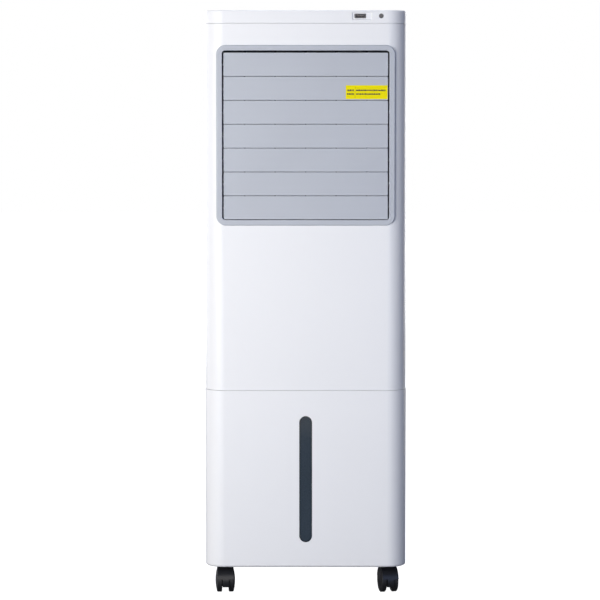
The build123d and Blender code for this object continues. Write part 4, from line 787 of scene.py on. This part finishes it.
@dataclass
class WaterWindow:
    """Smoked level window, a dark rim round it that is painted shade of its bevelled edge, and the float
    behind it.
    """

    # Width of the dark rim of painted shade round the lens.
    border: float = 1.6 * MM
    film: float = 0.06 * MM
    arc_steps: int = 20
    card_gap: float = 0.2 * MM
    card_thickness: float = 0.1 * MM
    card_margin: float = 6.5 * MM

    def build(self) -> None:
        """Dresses the lens and float, and makes the dark rim of painted shade."""
        RACK.dress(Finish.LEVEL_LENS, ("tank_window",))
        RACK.dress(Finish.FLOAT_DARK, ("level_float",))
        self.make_shade_rim()
        self.card()

    def card(self) -> None:
        """Makes the pale card at the back of the float's channel."""
        float_low, float_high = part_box("level_float")
        low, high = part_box("tank_window")
        card = bmesh.new()
        add_bar(card, (0.0, float_high.y + self.card_gap, (low.z + high.z) / 2),
                (float_high.x - float_low.x, self.card_thickness, high.z - low.z - 2 * self.card_margin))
        finish_piece("level_card", card, Finish.CARD_GREY, "cabinet")

    def make_shade_rim(self) -> None:
        """Makes a dark rim along the edge of the lens: painted shade where its bevelled edge falls dark."""
        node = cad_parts["tank_window"]
        lens = [node.matrix_world @ vert.co for vert in node.data.vertices]
        face_y = min(co.y for co in lens)
        front = [co for co in lens if co.y < face_y + 0.1 * MM]
        low_z, high_z = min(co.z for co in front), max(co.z for co in front)
        radius = (max(co.x for co in front) - min(co.x for co in front)) / 2
        straight = (high_z - low_z) / 2 - radius
        middle_z = (low_z + high_z) / 2
        ring = bmesh.new()
        loops: list[list[bmesh.types.BMVert]] = []
        for inset in (0.0, self.border):
            loop = []
            for end in (1, -1):
                for step in range(self.arc_steps + 1):
                    angle = math.pi * step / self.arc_steps + (0.0 if end > 0 else math.pi)
                    x = (radius - inset) * math.cos(angle)
                    z = middle_z + end * straight + (radius - inset) * math.sin(angle)
                    loop.append(ring.verts.new((x, face_y - self.film, z)))
            loops.append(loop)
        outer, inner = loops
        for i, vert in enumerate(outer):
            after = (i + 1) % len(outer)
            ring.faces.new((vert, outer[after], inner[after], inner[i]))
        raised = bmesh.ops.extrude_face_region(ring, geom=ring.faces[:])
        bmesh.ops.translate(ring, vec=(0, self.film * 0.8, 0),
                            verts=[g for g in raised["geom"] if isinstance(g, bmesh.types.BMVert)])
        finish_piece("window_shade_rim", ring, Finish.LENS_SHADE_RIM, "cabinet")


@dataclass
class ControlTop:
    """Black panel with its display, five buttons, USB socket and receiver."""

    buttons: tuple[str, ...] = ("power", "speed", "cool", "swing", "timer")
    print_height: float = 0.04 * MM
    stroke: float = 0.5 * MM
    digit_size: tuple[float, float] = (6.5 * MM, 12.0 * MM)
    segment_width: float = 1.1 * MM
    digit_places: tuple[float, ...] = (-12.0 * MM, -2.5 * MM)
    bar_places: tuple[float, ...] = (9.0 * MM, 12.2 * MM, 15.4 * MM)
    bar_width: float = 1.6 * MM
    bar_rise: float = 2.5 * MM
    contact_places: tuple[float, ...] = (-3.5 * MM, -1.1 * MM, 1.1 * MM, 3.5 * MM)
    contact_size: tuple[float, float, float] = (1.0 * MM, 7.4 * MM, 0.12 * MM)
    contact_depth: float = 6.0 * MM

    def build(self) -> None:
        """Dresses the controls and makes their printed marks and display segments."""
        RACK.dress(Finish.PANEL_BLACK, ("control_panel",))
        RACK.dress(Finish.DISPLAY_BLACK, ("display_window",))
        RACK.dress(Finish.BUTTON_GREY, [f"{b}_button" for b in self.buttons])
        RACK.dress(Finish.BOARD, ("control_board",))
        # The socket's metal is near black: painted shade inside the opening.
        RACK.dress(Finish.SOCKET_PAINTED_SHADE, ("usb_socket",))
        RACK.dress(Finish.RECEIVER_DARK, ("remote_receiver",))
        for button in self.buttons:
            self.mark(button)
        self.segments()
        self.contacts()

    def line(self, mesh: bmesh.types.BMesh, centre: Vector, size: tuple[float, float],
             degrees: float = 0.0) -> None:
        """Adds a printed line lying in X and Y.

        Args:
            mesh: the mesh it joins.
            centre: its middle, at its underside.
            size: its lengths along X and Y before it is turned.
            degrees: its turn.
        """
        add_bar(mesh, centre + Vector((0, 0, self.print_height / 2)), (*size, self.print_height),
                Matrix.Rotation(math.radians(degrees), 3, "Z"))

    def mark(self, button: str) -> None:
        """Makes the printed sign of a button.

        Args:
            button: which button.
        """
        low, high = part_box(f"{button}_button")
        top = Vector(((low.x + high.x) / 2, (low.y + high.y) / 2, high.z))
        sign = bmesh.new()
        if button == "power":
            add_ring(sign, top, 2.3 * MM, self.stroke, self.print_height, math.radians(125),
                     math.radians(290))
            self.line(sign, top + Vector((0, 1.9 * MM, 0)), (self.stroke, 2.4 * MM))
        elif button == "speed":
            add_ring(sign, top, 0.7 * MM, self.stroke * 0.8, self.print_height)
            for turn in (0, 120, 240):
                way = Matrix.Rotation(math.radians(turn), 3, "Z") @ Vector((1.7 * MM, 0, 0))
                add_ring(sign, top + way, 1.1 * MM, self.stroke * 0.8, self.print_height,
                         math.radians(turn - 80), math.radians(200), 12)
        elif button == "cool":
            for turn in (0, 60, 120):
                self.line(sign, top, (5.0 * MM, self.stroke * 0.8), turn)
        elif button == "swing":
            self.line(sign, top, (self.stroke, 4.4 * MM))
            for start in (-45, 135):
                add_ring(sign, top, 2.4 * MM, self.stroke, self.print_height, math.radians(start),
                         math.radians(90), 12)
        else:
            add_ring(sign, top, 2.4 * MM, self.stroke, self.print_height)
            self.line(sign, top + Vector((0, 0.8 * MM, 0)), (self.stroke * 0.8, 1.8 * MM))
            self.line(sign, top + Vector((0.6 * MM, 0, 0)), (1.5 * MM, self.stroke * 0.8))
        finish_piece(f"{button}_sign", sign, Finish.PRINT_PALE, f"{button}_button")

    def segments(self) -> None:
        """Makes the display's unlit segments: two digits and a row of three bars."""
        low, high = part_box("display_window")
        middle = Vector(((low.x + high.x) / 2, (low.y + high.y) / 2, high.z - self.print_height * 0.4))
        wide, tall = self.digit_size
        thick = self.segment_width
        unlit = bmesh.new()
        for offset in self.digit_places:
            centre = middle + Vector((offset, 0, 0))
            for step in (-1, 0, 1):
                self.line(unlit, centre + Vector((0, step * tall / 2, 0)), (wide - 1.5 * thick, thick))
            for side in (-1, 1):
                for half in (-1, 1):
                    self.line(unlit, centre + Vector((side * wide / 2, half * tall / 4, 0)),
                              (thick, tall / 2 - 1.5 * thick))
        for index, offset in enumerate(self.bar_places):
            rise = self.bar_rise * (index + 1)
            self.line(unlit, middle + Vector((offset, (rise - tall) / 2, 0)), (self.bar_width, rise))
        finish_piece("display_segments", unlit, Finish.SEGMENT_DIM, "cabinet")

    def contacts(self) -> None:
        """Makes the socket's four contacts, under its tongue."""
        low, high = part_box("usb_socket")
        tongue_underside = (low.z + high.z) / 2 + 0.26 * MM
        strips = bmesh.new()
        for x in self.contact_places:
            add_bar(strips, ((low.x + high.x) / 2 + x, low.y + self.contact_depth, tongue_underside),
                    self.contact_size)
        finish_piece("usb_contacts", strips, Finish.CONTACT_GOLD, "cabinet")


@dataclass
class RearIntake:
    """Pull-out cassette: slatted grille, woven dust filter and corrugated pad."""

    sheet_pitch: float = 7.0 * MM
    wave: float = 15.0 * MM
    sheet_thickness: float = 0.4 * MM
    thread_pitch: float = 3.0 * MM
    thread: float = 0.5 * MM
    rim: float = 5.0 * MM

    def build(self) -> None:
        """Dresses the grille and makes the pad and the filter."""
        RACK.dress(Finish.GRILLE_GREY, ("intake_grille",))
        self.pad()
        self.filter_mesh()

    def pad(self) -> None:
        """Makes the pad from corrugated sheets whose flutes cross from one sheet to the next."""
        low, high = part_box("cooling_pad")
        middle = (low + high) / 2
        depth = high.y - low.y
        slant = math.tan(math.radians(30.0)) * depth
        height = high.z - low.z
        columns = int((height + 2 * slant) / (self.wave / 6))
        count = int((high.x - low.x) / self.sheet_pitch)
        reach = self.sheet_pitch / 2 - self.sheet_thickness * 0.6
        draw = random.Random(11)
        whole = bmesh.new()
        for index in range(count):
            x = middle.x + (index - (count - 1) / 2) * self.sheet_pitch
            side = 1 if index % 2 else -1
            phase = draw.uniform(0.0, 2 * math.pi)
            before = set(whole.verts)
            bmesh.ops.create_grid(whole, x_segments=columns, y_segments=1, size=0.5)
            sheet = [v for v in whole.verts if v not in before]
            for vert in sheet:
                along = vert.co.x * columns * self.wave / 6
                across = vert.co.y * depth
                swell = math.sin(phase + 2 * math.pi * (along / self.wave)) * reach
                lean = side * across / depth * slant
                vert.co = Vector((x + swell, middle.y + across, middle.z + along + lean))
        for level, facing in ((high.z, 1), (low.z, -1)):
            bmesh.ops.bisect_plane(
                whole, geom=whole.verts[:] + whole.edges[:] + whole.faces[:], plane_co=(0, 0, level),
                plane_no=(0, 0, facing), clear_outer=True)
        bmesh.ops.solidify(whole, geom=whole.faces[:], thickness=self.sheet_thickness)
        piece = finish_piece("corrugated_pad", whole, Finish.PAD_BROWN, "intake_cassette")
        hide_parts("cooling_pad")

    def filter_mesh(self) -> None:
        """Makes the filter: straight threads both ways in a thin moulded rim with a cross bar."""
        low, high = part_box("dust_filter")
        middle = (low + high) / 2
        depth = high.y - low.y
        mesh = bmesh.new()
        width, height = high.x - low.x, high.z - low.z
        inner_x, inner_z = width - self.rim, height - self.rim
        columns = int(inner_x / self.thread_pitch)
        rows = int(inner_z / self.thread_pitch)
        for i in range(columns):
            x = middle.x + (i - (columns - 1) / 2) * self.thread_pitch
            add_bar(mesh, (x, middle.y - self.thread * 0.35, middle.z), (self.thread, self.thread, inner_z))
        for i in range(rows):
            z = middle.z + (i - (rows - 1) / 2) * self.thread_pitch
            add_bar(mesh, (middle.x, middle.y + self.thread * 0.35, z), (inner_x, self.thread, self.thread))
        threads = finish_piece("filter_weave", mesh, Finish.FILTER_THREAD, "intake_cassette")
        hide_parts("dust_filter")

        rim = bmesh.new()
        for side in (-1, 1):
            add_bar(rim, (middle.x + side * (width - self.rim) / 2, middle.y, middle.z),
                    (self.rim, depth, height))
            add_bar(rim, (middle.x, middle.y, middle.z + side * (height - self.rim) / 2),
                    (width - 2 * self.rim, depth, self.rim))
        add_bar(rim, (middle.x, middle.y, middle.z), (width - 2 * self.rim, depth * 0.8, self.rim * 0.6))
        finish_piece("filter_rim", rim, Finish.GRILLE_GREY, "intake_cassette")


@dataclass
class AirPath:
    """Duct, vanes, blower and motor."""

    vanes: int = 5

    def build(self) -> None:
        """Dresses what moves and carries the air."""
        RACK.dress(Finish.INNER_WHITE, ("outlet_duct", "vane_link", "blower_scroll"))
        RACK.dress(Finish.VANE_BLACK, [f"vane_{i + 1}" for i in range(self.vanes)])
        RACK.dress(Finish.BLOWER_DARK, ("blower_wheel",))
        RACK.dress(Finish.MOTOR_CAN, ("fan_motor", "vane_motor"))
        RACK.dress(Finish.PUMP_BLACK, ("pump",))
        RACK.dress(Finish.HOSE_SILICONE, ("water_hose",))


@dataclass
class CasterSet:
    """Four twin-wheel casters."""

    corners: tuple[str, ...] = ("front_left", "front_right", "rear_left", "rear_right")

    def build(self) -> None:
        """Dresses hoods, wheels and stems."""
        RACK.dress(Finish.CASTER_BLACK, [f"caster_hood_{c}" for c in self.corners])
        RACK.dress(Finish.TREAD_BLACK, [f"caster_wheels_{c}" for c in self.corners])
        RACK.dress(Finish.ZINC, ("caster_stems",))


# ------------------------------------------------------------------ studio
@dataclass(frozen=True)
class Softbox:
    """A soft area light."""

    name: str
    place: tuple[float, float, float]
    target: tuple[float, float, float]
    width: float
    height: float
    power: float
    colour: Colour = (1.0, 1.0, 1.0)

    @classmethod
    def around(cls, name: str, azimuth: float, power: float, colour: Colour, reach: float = 2.2,
               height: float = 0.75, wide: float = 0.75, tall: float = 1.7) -> "Softbox":
        """Places a softbox on a circle round the cooler.

        Args:
            name: the light's name.
            azimuth: degrees from straight ahead, positive to the right.
            power: its power in watts.
            colour: its colour.
            reach: its distance from the middle.
            height: its height over the floor.
            wide: its width.
            tall: its height.

        Returns:
            The softbox, aimed at the middle of the cooler.
        """
        turn = math.radians(azimuth)
        place = (reach * math.sin(turn), -reach * math.cos(turn), height)
        return cls(name, place, (0.0, 0.0, 0.5), wide, tall, power, colour)

    def build(self) -> None:
        """Adds the light to the scene."""
        data = bpy.data.lights.new(self.name, "AREA")
        data.shape = "RECTANGLE"
        data.size = self.width
        data.size_y = self.height
        data.energy = self.power
        data.color = self.colour
        light = bpy.data.objects.new(self.name, data)
        light.location = self.place
        light.rotation_euler = (Vector(self.target) - Vector(self.place)).to_track_quat("-Z", "Y").to_euler()
        bpy.context.scene.collection.objects.link(light)


@dataclass
class Studio:
    """Camera, white surround, pale floor and soft lights."""

    distance: float = 3.8
    eye_height: float = 0.7418
    tilt_degrees: float = 3.892
    lens: float = 141.15
    sideways: float = -9.2 * MM
    floor_size: float = 40.0
    fill: Colour = (0.065, 0.08, 0.139)
    lights: tuple[Softbox, ...] = field(default_factory=lambda: (
        Softbox.around("key_left", -40, 18.8, (1.0, 0.997, 0.978)),
        Softbox.around("key_front", -20, 20.4, (1.0, 0.991, 0.972)),
        Softbox.around("side_left", -62, 5.3, (1.0, 0.82, 0.55)),
        Softbox.around("back_left", -110, 10.8, (0.91, 0.91, 1.0)),
        Softbox.around("front", 0, 5.7, (1.0, 0.87, 0.65)),
        Softbox.around("cool_right", 20, 5.96, (0.4, 0.56, 1.0)),
        Softbox.around("strip_right", 128, 3.9, (1.0, 0.94, 0.74), reach=1.6, wide=0.16, tall=1.9),
        Softbox.around("rear_left", -150, 38.0, (1.0, 1.0, 1.0), reach=3.0, height=1.0, wide=1.8, tall=1.8),
        Softbox.around("rear_right", 150, 28.0, (1.0, 1.0, 1.0), reach=3.0, height=1.0, wide=1.4, tall=1.6),
        Softbox("top", (-0.2, 0.25, 2.9), (0.0, 0.05, 0.9), 1.4, 1.2, 26.0, (0.98, 0.99, 1.0)),
    ))

    def build(self) -> None:
        """Sets up camera, world, floor and lights."""
        bpy.context.scene.view_settings.view_transform = "Standard"
        front = CAD_BOX[0][1] + 2.4 * MM
        data = bpy.data.cameras.new("camera")
        data.lens = self.lens
        data.sensor_width = 36.0
        data.clip_end = 100.0
        camera = bpy.data.objects.new("camera", data)
        camera.location = (self.sideways, front - self.distance, self.eye_height)
        camera.rotation_euler = (math.radians(90.0 - self.tilt_degrees), 0.0, 0.0)
        bpy.context.scene.collection.objects.link(camera)
        bpy.context.scene.camera = camera
        self.surround()
        self.floor()
        for light in self.lights:
            light.build()
            log.info("light %s", light.name)

    def surround(self) -> None:
        """White to the eye, and a soft dim fill to everything else."""
        world = bpy.data.worlds.new("surround")
        bpy.context.scene.world = world
        world.use_nodes = True
        world.node_tree.nodes.clear()
        bench = Bench(world.node_tree)
        ray = bench.add("LightPath")
        seen = bench.add("Background", {"Color": (1.0, 1.0, 1.0), "Strength": 1.0})
        lit = bench.add("Background", {"Color": self.fill, "Strength": 1.0})
        mix = bench.add("MixShader", {0: ray.outputs["Is Camera Ray"], 1: lit.outputs[0], 2: seen.outputs[0]})
        bench.add("OutputWorld", {"Surface": mix.outputs[0]})

    def floor(self) -> None:
        """Pale seamless floor."""
        mesh = bmesh.new()
        bmesh.ops.create_grid(mesh, x_segments=1, y_segments=1, size=self.floor_size / 2)
        data = bpy.data.meshes.new("floor")
        mesh.to_mesh(data)
        mesh.free()
        floor = bpy.data.objects.new("floor", data)
        bpy.context.scene.collection.objects.link(floor)
        material = bpy.data.materials.new("floor_paper")
        material.use_nodes = True
        material.node_tree.nodes.clear()
        bench = Bench(material.node_tree)
        ray = bench.add("LightPath")
        paper = bench.add("BsdfDiffuse", {"Color": (0.5, 0.51, 0.53)})
        muted = bench.add("BsdfDiffuse", {"Color": (0.2, 0.205, 0.22)})
        glow = bench.add("Emission", {"Color": (1.0, 1.0, 1.0), "Strength": 1.0})
        both = bench.add("AddShader", {0: paper.outputs[0], 1: glow.outputs[0]})
        mix = bench.add(
            "MixShader", {0: ray.outputs["Is Camera Ray"], 1: muted.outputs[0], 2: both.outputs[0]}
        )
        bench.add("OutputMaterial", {"Surface": mix.outputs[0]})
        data.materials.append(material)


def main() -> None:
    """Builds the studio and each sub-assembly in order."""
    logging.basicConfig(level=logging.INFO, format="%(message)s")
    for part in (Studio(), Cabinet(), OutletLouvres(), WaterWindow(), ControlTop(), RearIntake(), AirPath(),
                 CasterSet()):
        part.build()
        log.info("built %s", type(part).__name__)


if __name__ == "__main__":
    main()
